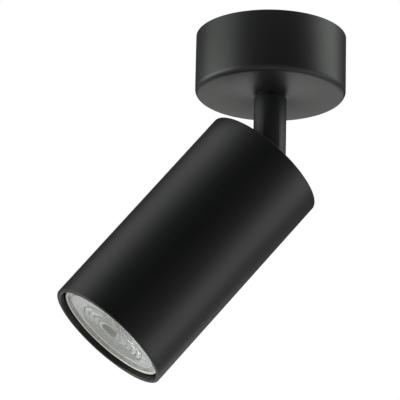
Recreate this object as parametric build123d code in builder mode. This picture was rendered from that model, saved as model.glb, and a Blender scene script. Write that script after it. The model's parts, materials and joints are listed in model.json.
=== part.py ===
from build123d import *
import math
import os

# Surface mounted ceiling spotlight: a round canopy cup on a ceiling bracket, a
# short turned stem that pans in the cup, and a cylindrical head that tilts on
# the stem's half-lap knuckle and holds a pin-base reflector lamp.
#
# Millimetres. The ceiling is the plane z = 0, and everything hangs below it.
# The origin is the centre of the two ceiling screws. The tilt axis lies along
# Y, and at rest the head leans towards -X.

# ------------------------------------------------------------ canopy cup
canopy_diameter = 63.6
canopy_height = 26.5
canopy_wall = 1.2
canopy_edge_radius = 2.5

# ------------------------------------------------------------ ceiling bracket
strap_width = 20.0
strap_thickness = 1.5
tab_width = 12.0  # down-turned end tabs that hold the cup
tab_drop = 14.0
tab_bend_radius = 1.0
tab_to_cup = 0.5  # gap from a tab's corner to the cup's wall
ceiling_slot_spacing = 42.0
ceiling_slot_length = 8.0
ceiling_slot_width = 4.5
cup_screw_diameter = 4.0  # grub screws, one through each side of the cup
cup_screw_length = 5.0
cup_screw_key = 2.0  # across the flats of its hexagon socket
cup_screw_key_depth = 2.0
cup_screw_depth = 9.0  # from the ceiling down to the grub screws

# ------------------------------------------------------------ cable grommet
grommet_bore = 7.5
grommet_wall = 2.0
grommet_lip = 2.0
grommet_lip_thickness = 1.5

# ------------------------------------------------------------ terminal block
terminal_pitch = 8.5
terminal_block_length = 26.0
terminal_block_depth = 12.0
terminal_block_height = 10.0
terminal_block_gap = 1.0  # from the strap's edge
terminal_ear_margin = 1.0  # how far the ear passes the block
terminal_insert_diameter = 4.6
terminal_insert_bore = 3.0
terminal_insert_setback = 1.0
terminal_wire_stop = 1.0
terminal_insert_depth = 5.0  # from the ear down to the inserts' axis
clamp_screw_diameter = 2.5
clamp_screw_spacing = 6.0
clamp_screw_setback = 0.8
block_screw_diameter = 2.5
block_screw_head_diameter = 4.2
block_screw_head_height = 1.2

# ------------------------------------------------------------ earth point
earth_screw_x = 13.4
earth_screw_y = 6.3
earth_screw_diameter = 3.5
earth_screw_head_diameter = 6.0
earth_screw_head_height = 2.0
earth_tag_diameter = 6.4
earth_tag_thickness = 0.8
earth_barrel_diameter = 2.2
earth_barrel_length = 2.8
head_earth_distance = 16.5  # from the head's axis to its earth screw
head_earth_angle = 40.0  # degrees round from the head's upper side

# ------------------------------------------------------------ stem
stem_diameter = 13.8
stem_chamfer = 0.8
stem_lead_bore = 6.8
pivot_depth = 54.3  # from the ceiling down to the tilt axis

# ------------------------------------------------------------ pan joint
spindle_diameter = 10.0
spindle_bore = 7.2
spindle_engagement = 8.0  # thread inside the stem
spindle_proud = 1.0  # above the lock nut
pan_bush_wall = 0.45
pan_bush_flange_diameter = 16.0
pan_bush_flange_thickness = 0.8
stem_washer_thickness = 0.5
stop_washer_diameter = 16.0
stop_washer_thickness = 1.2
stop_tab_width = 2.0
stop_tab_reach = 12.0
stop_pin_diameter = 2.5
stop_pin_distance = 10.4
stop_pin_overlap = 0.6  # the pin's end stands this far above the tab
spring_washer_diameter = 15.0
spring_washer_thickness = 0.5
spring_washer_rise = 0.5
lock_nut_flats = 14.0
lock_nut_thickness = 3.0
spindle_bush_lip_diameter = 9.4
spindle_bush_lip_thickness = 0.8
spindle_bush_depth = 4.0

# ------------------------------------------------------------ leads
lead_diameter = 2.6  # sleeve that holds the three wires
wire_diameter = 1.0
wire_spread = 1.2  # across the circle that the three wires' centres lie on
lead_standout = 2.0  # sleeve above the spindle's bush
lead_to_wire_gap = 0.3  # the wires turn here, above the sleeve's end
lead_hole_gap = 0.15  # radial
lead_slant_height = 15.0  # from the tilt axis to where the lead leaves the centre line
lead_bore_floor = 10.5  # from the tilt axis to the end of the stem's wide bore
lead_tail = 1.0  # past the tilt axis
lead_bend_radius = 10.0
wire_bend_radius = 2.5
small_bend_radius = 1.5  # of the earth wire at its tag
earth_wire_rise = 3.75  # over the knuckle's nut

# ------------------------------------------------------------ tilt knuckle
rest_tilt = 38.8  # degrees from straight down
lap_gap = 0.3  # between the two halves of the lap
knuckle_cavity_diameter = 10.6
knuckle_cavity_depth = 3.4
knuckle_shoulder = 7.25  # from the tilt axis to each half's shoulder
pivot_screw_diameter = 3.0
pivot_screw_head_diameter = 6.0
pivot_screw_head_height = 1.7
pivot_screw_key = 2.0
pivot_screw_key_depth = 1.0
pivot_nut_flats = 5.5
pivot_nut_thickness = 1.9
pivot_washer_diameter = 5.6
pivot_washer_thickness = 0.5
knuckle_spigot_diameter = 10.0
spigot_bore = 6.0
knuckle_nut_flats = 14.0
knuckle_nut_thickness = 3.0
knuckle_washer_diameter = 16.0
knuckle_washer_thickness = 0.8
knuckle_washer_teeth = 16
knuckle_spigot_proud = 1.0

# ------------------------------------------------------------ head
head_diameter = 55.0
head_length = 100.9
head_wall = 2.0
head_edge_radius = 0.5
head_offset = 3.5  # from the tilt axis to the head's rear rim
rear_plate_recess = 7.0
rear_plate_thickness = 2.0
rear_ledge_width = 5.0
rear_ledge_thickness = 3.0
rear_screw_count = 3
rear_screw_diameter = 2.5
rear_screw_head_diameter = 4.4
rear_screw_head_height = 1.5
rear_screw_length = 4.5
rear_screw_cross = 2.6  # across its cross recess
rear_screw_cross_width = 0.7

# ------------------------------------------------------------ lamp holder
holder_diameter = 29.0
holder_front_depth = 9.0
holder_back_depth = 9.0
holder_face_thickness = 2.5
holder_screw_diameter = 3.0
holder_screw_spacing = 19.0
holder_screw_head_diameter = 5.4
holder_screw_head_height = 1.6
holder_nut_flats = 5.5
holder_nut_thickness = 2.4
bracket_width = 13.0
bracket_nut_gap = 0.25  # from its legs to the nuts
bracket_thickness = 1.2
bracket_bend_radius = 0.5
bracket_bore = 10.0
bracket_screw_diameter = 3.0
bracket_screw_head_diameter = 4.6
bracket_screw_head_height = 1.8
contact_thickness = 0.5
contact_width = 3.0
contact_length = 5.0
contact_heel = 2.0  # from the pin's axis back to the contact's fold
contact_wire_place = 4.0  # from the head's axis

# ------------------------------------------------------------ lamp
lamp_diameter = 49.4
lamp_length = 50.0
lamp_recess = 2.1  # from the head's front rim to the lamp's face
lamp_wall = 1.3
lamp_rim_height = 4.0
lamp_neck_diameter = 29.0
lamp_neck_distance = 34.0  # from the face back to the neck
lamp_neck_height = 4.0
lamp_base_diameter = 25.0
lamp_floor_thickness = 1.5
lamp_web_thickness = 2.0
lens_ledge_width = 1.2
base_plug_height = 3.5
pin_spacing = 10.0
pin_length = 7.1
pin_shank_diameter = 3.2
pin_foot_diameter = 5.0
pin_foot_height = 2.0
pin_root = 3.0  # inside the lamp's base
release_turn = 25.0  # degrees from locked to free
slot_clearance = 0.3
optic_flange_thickness = 1.6
optic_setback = 0.35
optic_clearance = 0.15
optic_bowl_diameter = 37.0
optic_root_diameter = 14.0
optic_depth = 13.0
optic_well_diameter = 10.0
optic_well_floor_diameter = 7.0
optic_well_depth = 4.0
optic_pocket_depth = 3.0  # over the emitter
optic_ring_diameter = 43.6  # fine raised ring on the lens
optic_ring_width = 0.7
optic_ring_height = 0.3
optic_groove_count = 4
optic_groove_depth = 0.35
led_board_thickness = 1.6
led_board_gap = 1.0
emitter_diameter = 8.0
emitter_height = 0.7
driver_board_width = 17.0
driver_board_length = 24.0
driver_board_thickness = 1.2

# ------------------------------------------------------------ fits
running_clearance = 0.05  # radial, where a shaft turns
thread_clearance = 0.05  # radial, between a thread and its hole
screw_clearance = 0.2  # radial, where a screw passes through
face_gap = 0.3  # between pieces that pass or sit beside each other

# ------------------------------------------------------------ worked out
canopy_radius = canopy_diameter / 2
cup_inner_radius = canopy_radius - canopy_wall
cup_underside = -canopy_height
cup_floor = cup_underside + canopy_wall

tab_face = math.sqrt((cup_inner_radius - tab_to_cup) ** 2 - (tab_width / 2) ** 2)
tab_inner_face = tab_face - strap_thickness
strap_underside = -strap_thickness

grommet_hole_diameter = grommet_bore + 2 * grommet_wall

terminal_block_near = strap_width / 2 + terminal_block_gap
terminal_block_middle = terminal_block_near + terminal_block_depth / 2
terminal_block_far = terminal_block_near + terminal_block_depth
terminal_block_bottom = strap_underside - terminal_block_height
terminal_insert_length = terminal_block_depth - 2 * terminal_insert_setback
terminal_insert_z = strap_underside - terminal_insert_depth
terminal_places = [-terminal_pitch, 0, terminal_pitch]

earth_tag_bottom = strap_underside - earth_tag_thickness
earth_barrel_start = earth_screw_x - earth_tag_diameter / 2
earth_barrel_end = earth_barrel_start - earth_barrel_length
earth_barrel_lift = earth_barrel_diameter / 2

stem_radius = stem_diameter / 2
stem_top = cup_underside - stem_washer_thickness
spindle_radius = spindle_diameter / 2
bush_bore_radius = spindle_radius + running_clearance
bush_outer_radius = bush_bore_radius + pan_bush_wall
bush_flange_top = cup_floor + pan_bush_flange_thickness
stop_washer_top = bush_flange_top + stop_washer_thickness
spring_washer_top = stop_washer_top + spring_washer_thickness + spring_washer_rise
lock_nut_top = spring_washer_top + lock_nut_thickness
spindle_top = lock_nut_top + spindle_proud
spindle_bottom = stem_top - spindle_engagement
spindle_bush_top = spindle_top + spindle_bush_lip_thickness
lead_top = spindle_bush_top + lead_standout
wire_end = lead_top + lead_to_wire_gap

lap_face = lap_gap / 2
lead_radius = lead_diameter / 2
lead_hole_radius = lead_radius + lead_hole_gap
lead_side = pivot_screw_diameter / 2 + face_gap + lead_radius
lead_lap = lap_face + knuckle_cavity_depth / 2
screw_seat = stem_radius - pivot_screw_head_height
nut_seat = stem_radius - pivot_nut_thickness - pivot_washer_thickness

head_radius = head_diameter / 2
head_inner_radius = head_radius - head_wall
rear_rim = head_offset
front_rim = head_offset + head_length
plate_back = rear_rim + rear_plate_recess
plate_front = plate_back + rear_plate_thickness
ledge_front = plate_front + rear_ledge_thickness
plate_radius = head_inner_radius - face_gap / 2
ledge_radius = head_inner_radius - rear_ledge_width
rear_screw_circle = head_inner_radius - rear_ledge_width / 2
knuckle_washer_front = plate_front + knuckle_washer_thickness
knuckle_nut_front = knuckle_washer_front + knuckle_nut_thickness
spigot_end = knuckle_nut_front + knuckle_spigot_proud

lamp_face = front_rim - lamp_recess
lamp_base_end = lamp_face - lamp_length
holder_joint = lamp_base_end - holder_front_depth
holder_rear = holder_joint - holder_back_depth
bracket_rear = holder_rear - bracket_thickness
bracket_span = holder_screw_spacing + holder_nut_flats + 2 * (bracket_nut_gap + bracket_thickness)
bracket_foot_end = math.sqrt((ledge_radius - face_gap / 2) ** 2 - (bracket_width / 2) ** 2)
foot_screw_place = bracket_span / 2 + bracket_bend_radius + bracket_screw_head_diameter / 2
head_lead_end = spigot_end + lead_standout

lamp_radius = lamp_diameter / 2
neck_front = lamp_face - lamp_neck_distance
neck_rear = neck_front - lamp_neck_height
base_radius = lamp_base_diameter / 2
base_inside = base_radius - lamp_wall
pin_end = lamp_base_end - pin_length
slot_rear = lamp_base_end - holder_face_thickness
contact_front = pin_end - face_gap
optic_radius = lamp_radius - lamp_wall - optic_clearance
optic_front = lamp_face - optic_setback
optic_back = optic_front - optic_flange_thickness
optic_root = optic_front - optic_depth
led_board_front = optic_root - led_board_gap
led_board_back = led_board_front - led_board_thickness

# ------------------------------------------------------------ the head's frame
tilt = math.radians(rest_tilt)
pivot = Vector(0, 0, -pivot_depth)
head_direction = Vector(-math.sin(tilt), 0, -math.cos(tilt))
head_side = Vector(-math.cos(tilt), 0, math.sin(tilt))
head_axis = Axis(pivot, head_direction)
head_earth_turn = math.radians(head_earth_angle)


def head_plane(distance):
    """Plane across the head, this far along its axis from the pivot."""
    return Plane(origin=pivot + head_direction * distance, x_dir=head_side, z_dir=head_direction)


def head_section(y=0):
    """Plane along the head's axis: its x is the radius, and its y the distance from the pivot."""
    return Plane(origin=pivot + Vector(0, y, 0), x_dir=head_side, z_dir=(0, -1, 0))


def lap_plane(y):
    """Plane square to the tilt axis, with its x along +X and its normal along +Y."""
    return Plane(origin=pivot + Vector(0, y, 0), x_dir=(1, 0, 0), z_dir=(0, 1, 0))


def in_head(side, y, distance):
    """Point of the head's own frame: towards its upper side, along Y and along its axis."""
    return pivot + head_side * side + Vector(0, y, 0) + head_direction * distance


def bundle_places():
    """Centres of the three wires in their bundle."""
    reach = wire_spread / 2
    return [(reach * math.cos(turn), reach * math.sin(turn))
            for turn in (math.radians(210), math.radians(90), math.radians(330))]


def add_wire(points, bend_radius, diameter, mode=Mode.ADD):
    """Add a round wire along the points to the part in hand, or cut its way, with round corners."""
    with BuildLine() as route:
        FilletPolyline(*points, radius=bend_radius)
    path = route.wires()[0]
    with BuildSketch(Plane(origin=path @ 0, z_dir=path % 0)) as section:
        Circle(diameter / 2)
    sweep(section.sketch, path=path, mode=mode)


pieces = []


def finish(builder, name):
    """Label a finished piece with its node's name and keep it for the export."""
    builder.part.label = name
    pieces.append(builder.part)


# ============================================================ canopy body

# Steel strap with two turned-down tabs and an ear for the terminal block.
with BuildPart() as ceiling_bracket:
    with BuildSketch(Plane.XZ):
        Rectangle(2 * tab_face, tab_drop, align=(Align.CENTER, Align.MAX))
        with Locations((0, strap_underside)):
            Rectangle(2 * tab_inner_face, tab_drop, align=(Align.CENTER, Align.MAX), mode=Mode.SUBTRACT)
    extrude(amount=strap_width / 2, both=True)
    bends = ceiling_bracket.edges().filter_by(Axis.Y).group_by(Axis.Z)[-1]
    fillet(bends, tab_bend_radius)
    with BuildSketch(Plane.XY):
        with Locations((tab_face, strap_width / 2), (tab_face, -strap_width / 2),
                       (-tab_face, strap_width / 2), (-tab_face, -strap_width / 2)):
            Rectangle(2 * (tab_face - tab_inner_face) + 2 * tab_bend_radius,
                      strap_width - tab_width)
    extrude(amount=-tab_drop, mode=Mode.SUBTRACT)
    with BuildSketch(Plane.XY):
        with Locations((0, strap_width / 2)):
            Rectangle(terminal_block_length,
                      terminal_block_far - strap_width / 2 + terminal_ear_margin,
                      align=(Align.CENTER, Align.MIN))
    extrude(amount=-strap_thickness)
    with BuildSketch(Plane.XY):
        with GridLocations(ceiling_slot_spacing, 1, 2, 1):
            SlotOverall(ceiling_slot_length, ceiling_slot_width)
        Circle(grommet_hole_diameter / 2)
        with Locations((-earth_screw_x, earth_screw_y)):
            Circle(earth_screw_diameter / 2 + thread_clearance)
        with Locations((-terminal_pitch / 2, terminal_block_middle),
                       (terminal_pitch / 2, terminal_block_middle)):
            Circle(block_screw_diameter / 2 + thread_clearance)
    extrude(amount=-strap_thickness, mode=Mode.SUBTRACT)
    with BuildSketch(Plane.YZ):
        with Locations((0, -cup_screw_depth)):
            Circle(cup_screw_diameter / 2 + thread_clearance)
    extrude(amount=canopy_radius, both=True, mode=Mode.SUBTRACT)
finish(ceiling_bracket, "ceiling_bracket")

# Rubber bush in the strap's middle hole, flush with the ceiling side.
with BuildPart() as cable_grommet:
    Cylinder(grommet_hole_diameter / 2, strap_thickness, align=(Align.CENTER, Align.CENTER, Align.MAX))
    with Locations((0, 0, strap_underside)):
        Cylinder(grommet_hole_diameter / 2 + grommet_lip, grommet_lip_thickness,
                 align=(Align.CENTER, Align.CENTER, Align.MAX))
    Hole(grommet_bore / 2, depth=2 * (strap_thickness + grommet_lip_thickness))
    lower_rims = cable_grommet.edges().group_by(Axis.Z)[0]
    fillet(lower_rims, grommet_lip_thickness / 3)
finish(cable_grommet, "cable_grommet")

# Deep-drawn cup with a rounded lower edge, open towards the ceiling.
with BuildPart() as canopy_cup:
    with BuildSketch(Plane.XZ):
        with BuildLine():
            Polyline((bush_outer_radius, cup_underside), (canopy_radius, cup_underside),
                     (canopy_radius, 0), (cup_inner_radius, 0),
                     (cup_inner_radius, cup_floor), (bush_outer_radius, cup_floor), close=True)
        make_face()
        outer_corner = (canopy_radius, cup_underside)
        inner_corner = (cup_inner_radius, cup_floor)
        fillet(vertices().sort_by_distance(outer_corner)[0], canopy_edge_radius)
        fillet(vertices().sort_by_distance(inner_corner)[0],
               max(canopy_edge_radius - canopy_wall, canopy_wall / 2))
    revolve(axis=Axis.Z)
    with BuildSketch(Plane.YZ):
        with Locations((0, -cup_screw_depth)):
            Circle(cup_screw_diameter / 2 + screw_clearance)
    extrude(amount=canopy_radius, both=True, mode=Mode.SUBTRACT)
finish(canopy_cup, "canopy_cup")

# Two grub screws, threaded through the tabs and flush with the cup's outside.
with BuildPart() as canopy_screws:
    for outward in (1, -1):
        face = Plane(origin=(outward * (canopy_radius - face_gap), 0, -cup_screw_depth),
                     x_dir=(0, 1, 0), z_dir=(outward, 0, 0))
        with BuildSketch(face):
            Circle(cup_screw_diameter / 2)
        extrude(amount=-cup_screw_length)
        with BuildSketch(face):
            RegularPolygon(cup_screw_key / 2, 6, major_radius=False)
        extrude(amount=-cup_screw_key_depth, mode=Mode.SUBTRACT)
finish(canopy_screws, "canopy_screws")

# Post riveted to the cup's floor, which the stem's stop washer runs against.
stop_pin_top = stop_washer_top + stop_pin_overlap
with BuildPart() as stop_pin:
    with BuildSketch(Plane.XY.offset(cup_floor)):
        with Locations((-stop_pin_distance, 0)):
            Circle(stop_pin_diameter / 2)
    extrude(amount=stop_pin_top - cup_floor)
    chamfer(stop_pin.edges().group_by(Axis.Z)[-1], stop_pin_diameter / 8)
finish(stop_pin, "stop_pin")

# Nylon flanged bush that the spindle turns in.
with BuildPart() as pan_bush:
    with BuildSketch(Plane.XY.offset(cup_underside)):
        Circle(bush_outer_radius)
        Circle(bush_bore_radius, mode=Mode.SUBTRACT)
    extrude(amount=canopy_wall)
    with BuildSketch(Plane.XY.offset(cup_floor)):
        Circle(pan_bush_flange_diameter / 2)
        Circle(bush_bore_radius, mode=Mode.SUBTRACT)
    extrude(amount=pan_bush_flange_thickness)
finish(pan_bush, "pan_bush")

# Thin friction washer between the cup's underside and the stem.
with BuildPart() as stem_washer:
    with BuildSketch(Plane.XY.offset(stem_top)):
        Circle(stem_radius - stem_chamfer)
        Circle(bush_bore_radius, mode=Mode.SUBTRACT)
    extrude(amount=stem_washer_thickness)
finish(stem_washer, "stem_washer")

# Moulded three-pole block, screwed up against the bracket's ear.
block_plane = Plane.XY.offset(strap_underside)
clamp_places = [(x, terminal_block_middle + y) for x in terminal_places
                for y in (-clamp_screw_spacing / 2, clamp_screw_spacing / 2)]
block_screw_places = [(-terminal_pitch / 2, terminal_block_middle),
                      (terminal_pitch / 2, terminal_block_middle)]
insert_places = [(x, terminal_insert_z) for x in terminal_places]
with BuildPart() as terminal_block:
    with BuildSketch(block_plane):
        with Locations((0, terminal_block_middle)):
            RectangleRounded(terminal_block_length, terminal_block_depth, terminal_insert_setback)
    extrude(amount=-terminal_block_height)
    with BuildSketch(Plane.XZ.offset(-terminal_block_near)):
        with Locations(*insert_places):
            Circle(terminal_insert_diameter / 2)
    extrude(amount=-terminal_block_depth, mode=Mode.SUBTRACT)
    with BuildSketch(Plane.XY.offset(terminal_block_bottom)):
        with Locations(*clamp_places):
            Circle(clamp_screw_diameter / 2 + screw_clearance)
    extrude(amount=terminal_block_height - terminal_insert_depth, mode=Mode.SUBTRACT)
    with BuildSketch(block_plane):
        with Locations(*block_screw_places):
            Circle(block_screw_diameter / 2 + thread_clearance)
    extrude(amount=-terminal_block_height, mode=Mode.SUBTRACT)
finish(terminal_block, "terminal_block")

# Three brass inserts with a wire stop in the middle of each.
insert_bore_depth = (terminal_insert_length - terminal_wire_stop) / 2
with BuildPart() as terminal_inserts:
    with BuildSketch(Plane.XZ.offset(-(terminal_block_middle + terminal_insert_length / 2))):
        with Locations(*insert_places):
            Circle(terminal_insert_diameter / 2)
    extrude(amount=terminal_insert_length)
    for end, into in ((terminal_insert_length / 2, 1), (-terminal_insert_length / 2, -1)):
        with BuildSketch(Plane.XZ.offset(-(terminal_block_middle + end))):
            with Locations(*insert_places):
                Circle(terminal_insert_bore / 2)
        extrude(amount=into * insert_bore_depth, mode=Mode.SUBTRACT)
    with BuildSketch(Plane.XY.offset(terminal_block_bottom)):
        with Locations(*clamp_places):
            Circle(clamp_screw_diameter / 2 + thread_clearance)
    extrude(amount=terminal_block_height - terminal_insert_depth, mode=Mode.SUBTRACT)
finish(terminal_inserts, "terminal_inserts")

# Clamp screws: tight on the lamp's wires, and backed off on the supply side.
clamp_tight = terminal_insert_z - wire_diameter / 2 - thread_clearance
clamp_open = terminal_insert_z - terminal_insert_bore / 2 - thread_clearance
clamp_head = terminal_block_bottom + clamp_screw_setback
with BuildPart() as terminal_screws:
    for y, tip in ((-clamp_screw_spacing / 2, clamp_tight), (clamp_screw_spacing / 2, clamp_open)):
        with BuildSketch(Plane.XY.offset(clamp_head)):
            with Locations(*[(x, terminal_block_middle + y) for x in terminal_places]):
                Circle(clamp_screw_diameter / 2)
        extrude(amount=tip - clamp_head)
        with BuildSketch(Plane.XY.offset(clamp_head)):
            with Locations(*[(x, terminal_block_middle + y) for x in terminal_places]):
                Rectangle(clamp_screw_diameter, clamp_screw_diameter / 5)
        extrude(amount=clamp_screw_diameter / 4, mode=Mode.SUBTRACT)
finish(terminal_screws, "terminal_screws")

# Two screws that hold the block, up through it into the ear.
with BuildPart() as block_screws:
    with BuildSketch(Plane.XY):
        with Locations(*block_screw_places):
            Circle(block_screw_diameter / 2)
    extrude(amount=terminal_block_bottom)
    with BuildSketch(Plane.XY.offset(terminal_block_bottom)):
        with Locations(*block_screw_places):
            Circle(block_screw_head_diameter / 2)
    extrude(amount=-block_screw_head_height)
    fillet(block_screws.edges().group_by(Axis.Z)[0], block_screw_head_height / 3)
finish(block_screws, "block_screws")


def add_ring_tag(plane, hole_radius):
    """Add a crimped ring tag that lies on the plane, with its barrel towards the plane's +x."""
    with BuildSketch(plane) as ring:
        Circle(earth_tag_diameter / 2)
        Rectangle(earth_tag_diameter / 2 + earth_barrel_length, earth_barrel_diameter,
                  align=(Align.MIN, Align.CENTER))
        Circle(hole_radius, mode=Mode.SUBTRACT)
    extrude(ring.sketch, amount=earth_tag_thickness)
    start = plane.from_local_coords(Vector(earth_tag_diameter / 2, 0, earth_barrel_lift))
    with BuildSketch(Plane(origin=start, z_dir=plane.x_dir)) as barrel:
        Circle(earth_barrel_diameter / 2)
    extrude(barrel.sketch, amount=earth_barrel_length)
    with BuildSketch(Plane(origin=start, z_dir=plane.x_dir)) as mouth:
        Circle(wire_diameter / 2 + thread_clearance)
    extrude(mouth.sketch, amount=2 * earth_barrel_length, mode=Mode.SUBTRACT)


# Earth point: a ring tag under a screw on the strap.
strap_earth_plane = Plane(origin=(-earth_screw_x, earth_screw_y, strap_underside),
                          x_dir=(1, 0, 0), z_dir=(0, 0, -1))
with BuildPart() as earth_tag:
    add_ring_tag(strap_earth_plane, earth_screw_diameter / 2 + screw_clearance)
finish(earth_tag, "earth_tag")

with BuildPart() as earth_screw:
    with BuildSketch(Plane.XY):
        with Locations((-earth_screw_x, earth_screw_y)):
            Circle(earth_screw_diameter / 2)
    extrude(amount=earth_tag_bottom)
    with BuildSketch(Plane.XY.offset(earth_tag_bottom)):
        with Locations((-earth_screw_x, earth_screw_y)):
            Circle(earth_screw_head_diameter / 2)
    extrude(amount=-earth_screw_head_height)
    fillet(earth_screw.edges().group_by(Axis.Z)[0], earth_screw_head_height / 3)
    with BuildSketch(Plane.XY.offset(earth_tag_bottom - earth_screw_head_height)):
        with Locations((-earth_screw_x, earth_screw_y)):
            Rectangle(earth_screw_head_diameter, earth_screw_head_diameter / 6)
    extrude(amount=earth_screw_head_height / 3, mode=Mode.SUBTRACT)
finish(earth_screw, "earth_screw")

# The three wires from the block to the middle of the spindle, where the lead starts.
wire_seat_y = terminal_block_near + terminal_insert_setback + insert_bore_depth
wire_turn_y = strap_width / 2 - wire_bend_radius
wire_low = terminal_block_bottom - wire_bend_radius / 2
live_place, earth_place, neutral_place = bundle_places()


def canopy_wire_points(terminal_x, place):
    """Route of one wire: out of its terminal, over the cup's middle and down to the lead."""
    return [(terminal_x, wire_seat_y, terminal_insert_z),
            (terminal_x, wire_turn_y, terminal_insert_z),
            (place[0], place[1], wire_low + wire_bend_radius),
            (place[0], place[1], wire_end)]


with BuildPart() as live_wire:
    add_wire(canopy_wire_points(-terminal_pitch, live_place), wire_bend_radius, wire_diameter)
finish(live_wire, "live_wire")

with BuildPart() as neutral_wire:
    add_wire(canopy_wire_points(terminal_pitch, neutral_place), wire_bend_radius, wire_diameter)
finish(neutral_wire, "neutral_wire")

earth_pair_x = wire_diameter / 2 + thread_clearance
with BuildPart() as earth_wire:
    add_wire(canopy_wire_points(earth_pair_x, earth_place), wire_bend_radius, wire_diameter)
finish(earth_wire, "earth_wire")

tag_mouth_x = -earth_barrel_end
tag_wire_z = strap_underside - earth_barrel_lift
with BuildPart() as earth_link:
    add_wire([(-earth_pair_x, wire_seat_y, terminal_insert_z),
              (-earth_pair_x, wire_turn_y + wire_diameter, terminal_insert_z),
              (tag_mouth_x + wire_bend_radius / 2, earth_screw_y, tag_wire_z),
              (tag_mouth_x - earth_barrel_length / 2, earth_screw_y, tag_wire_z)],
             wire_bend_radius / 2, wire_diameter)
finish(earth_link, "earth_link")

# ============================================================ stem body


def cut_round_tip(plane):
    """Round a lap's end about the tilt axis; the plane's +y points to the tip."""
    with BuildSketch(plane) as corners:
        Rectangle(2 * stem_diameter, stem_diameter, align=(Align.CENTER, Align.MIN))
        Circle(stem_radius, mode=Mode.SUBTRACT)
    extrude(corners.sketch, amount=stem_diameter, both=True, mode=Mode.SUBTRACT)


def lead_points(frame, side):
    """Route from the middle of a stem or spigot into its half of the knuckle's cavity."""
    return [frame(0, 0, lead_slant_height),
            frame(side * lead_side, side * lead_lap, knuckle_shoulder + face_gap),
            frame(side * lead_side, side * lead_lap, -lead_tail)]


def in_stem(x, y, height):
    """Point above the pivot in the stem."""
    return pivot + Vector(x, y, height)


# Turned stem: threaded at the top, with a half-lap lug around the tilt axis at the bottom.
with BuildPart() as stem:
    with BuildSketch(Plane.XY.offset(stem_top)):
        Circle(stem_radius)
    extrude(amount=-(stem_top + pivot_depth + stem_radius))
    chamfer(stem.edges().group_by(Axis.Z)[-1], stem_chamfer)
    with BuildSketch(Plane.XY.offset(-pivot_depth + knuckle_shoulder)):
        with Locations((0, -lap_face)):
            Rectangle(2 * stem_diameter, stem_diameter, align=(Align.CENTER, Align.MIN))
    extrude(amount=-(knuckle_shoulder + stem_diameter), mode=Mode.SUBTRACT)
    cut_round_tip(lap_plane(0))
    with BuildSketch(Plane.XY.offset(stem_top)):
        Circle(spindle_radius + thread_clearance)
    extrude(amount=-spindle_engagement, mode=Mode.SUBTRACT)
    with BuildSketch(Plane.XY.offset(spindle_bottom)):
        Circle(stem_lead_bore / 2)
    extrude(amount=-(spindle_bottom + pivot_depth - lead_bore_floor), mode=Mode.SUBTRACT)
    with BuildSketch(lap_plane(-lap_face)):
        Circle(knuckle_cavity_diameter / 2)
    extrude(amount=-knuckle_cavity_depth, mode=Mode.SUBTRACT)
    with BuildSketch(lap_plane(0)):
        Circle(pivot_screw_diameter / 2 + running_clearance)
    extrude(amount=-stem_diameter, mode=Mode.SUBTRACT)
    with BuildSketch(lap_plane(-screw_seat)):
        Circle(pivot_screw_head_diameter / 2 + face_gap)
    extrude(amount=-stem_radius, mode=Mode.SUBTRACT)
    add_wire(lead_points(in_stem, -1), lead_bend_radius, 2 * lead_hole_radius, Mode.SUBTRACT)
finish(stem, "stem")

# Hollow threaded spindle that hangs the stem in the cup.
with BuildPart() as pan_spindle:
    with BuildSketch(Plane.XY.offset(spindle_bottom)):
        Circle(spindle_radius)
        Circle(spindle_bore / 2, mode=Mode.SUBTRACT)
    extrude(amount=spindle_top - spindle_bottom)
finish(pan_spindle, "pan_spindle")

# Washer keyed to the spindle, with a tab that meets the stop pin.
with BuildPart() as stop_washer:
    with BuildSketch(Plane.XY.offset(bush_flange_top)):
        Circle(stop_washer_diameter / 2)
        Rectangle(stop_tab_reach, stop_tab_width, align=(Align.MIN, Align.CENTER))
        Circle(spindle_radius + thread_clearance, mode=Mode.SUBTRACT)
    extrude(amount=stop_washer_thickness)
finish(stop_washer, "stop_washer")

# Coned spring washer that keeps the pan joint stiff.
with BuildPart() as pan_spring_washer:
    with BuildSketch(Plane.XZ):
        with BuildLine():
            Polyline((spring_washer_diameter / 2, stop_washer_top),
                     (spring_washer_diameter / 2, stop_washer_top + spring_washer_thickness),
                     (spindle_radius + screw_clearance, spring_washer_top),
                     (spindle_radius + screw_clearance, spring_washer_top - spring_washer_thickness),
                     close=True)
        make_face()
    revolve(axis=Axis.Z)
finish(pan_spring_washer, "pan_spring_washer")


def add_nut(plane, flats, bore_radius, thickness):
    """Add a hexagon nut that stands on the plane, with its outer corners chamfered."""
    with BuildSketch(plane) as outline:
        RegularPolygon(flats / 2, 6, major_radius=False)
        Circle(bore_radius, mode=Mode.SUBTRACT)
    extrude(outline.sketch, amount=thickness)
    beyond_corners = 2 * flats / math.sqrt(3) - flats / 2
    section = Plane(origin=plane.origin, x_dir=plane.x_dir, z_dir=-plane.y_dir)
    with BuildSketch(section) as corner:
        with BuildLine():
            Polyline((flats / 2, thickness), (flats / 2 + beyond_corners, thickness),
                     (flats / 2 + beyond_corners, thickness - beyond_corners / 2), close=True)
        make_face()
    revolve(corner.sketch, axis=Axis(plane.origin, plane.z_dir), mode=Mode.SUBTRACT)


with BuildPart() as pan_lock_nut:
    add_nut(Plane.XY.offset(spring_washer_top), lock_nut_flats,
            spindle_radius + thread_clearance, lock_nut_thickness)
finish(pan_lock_nut, "pan_lock_nut")

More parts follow.
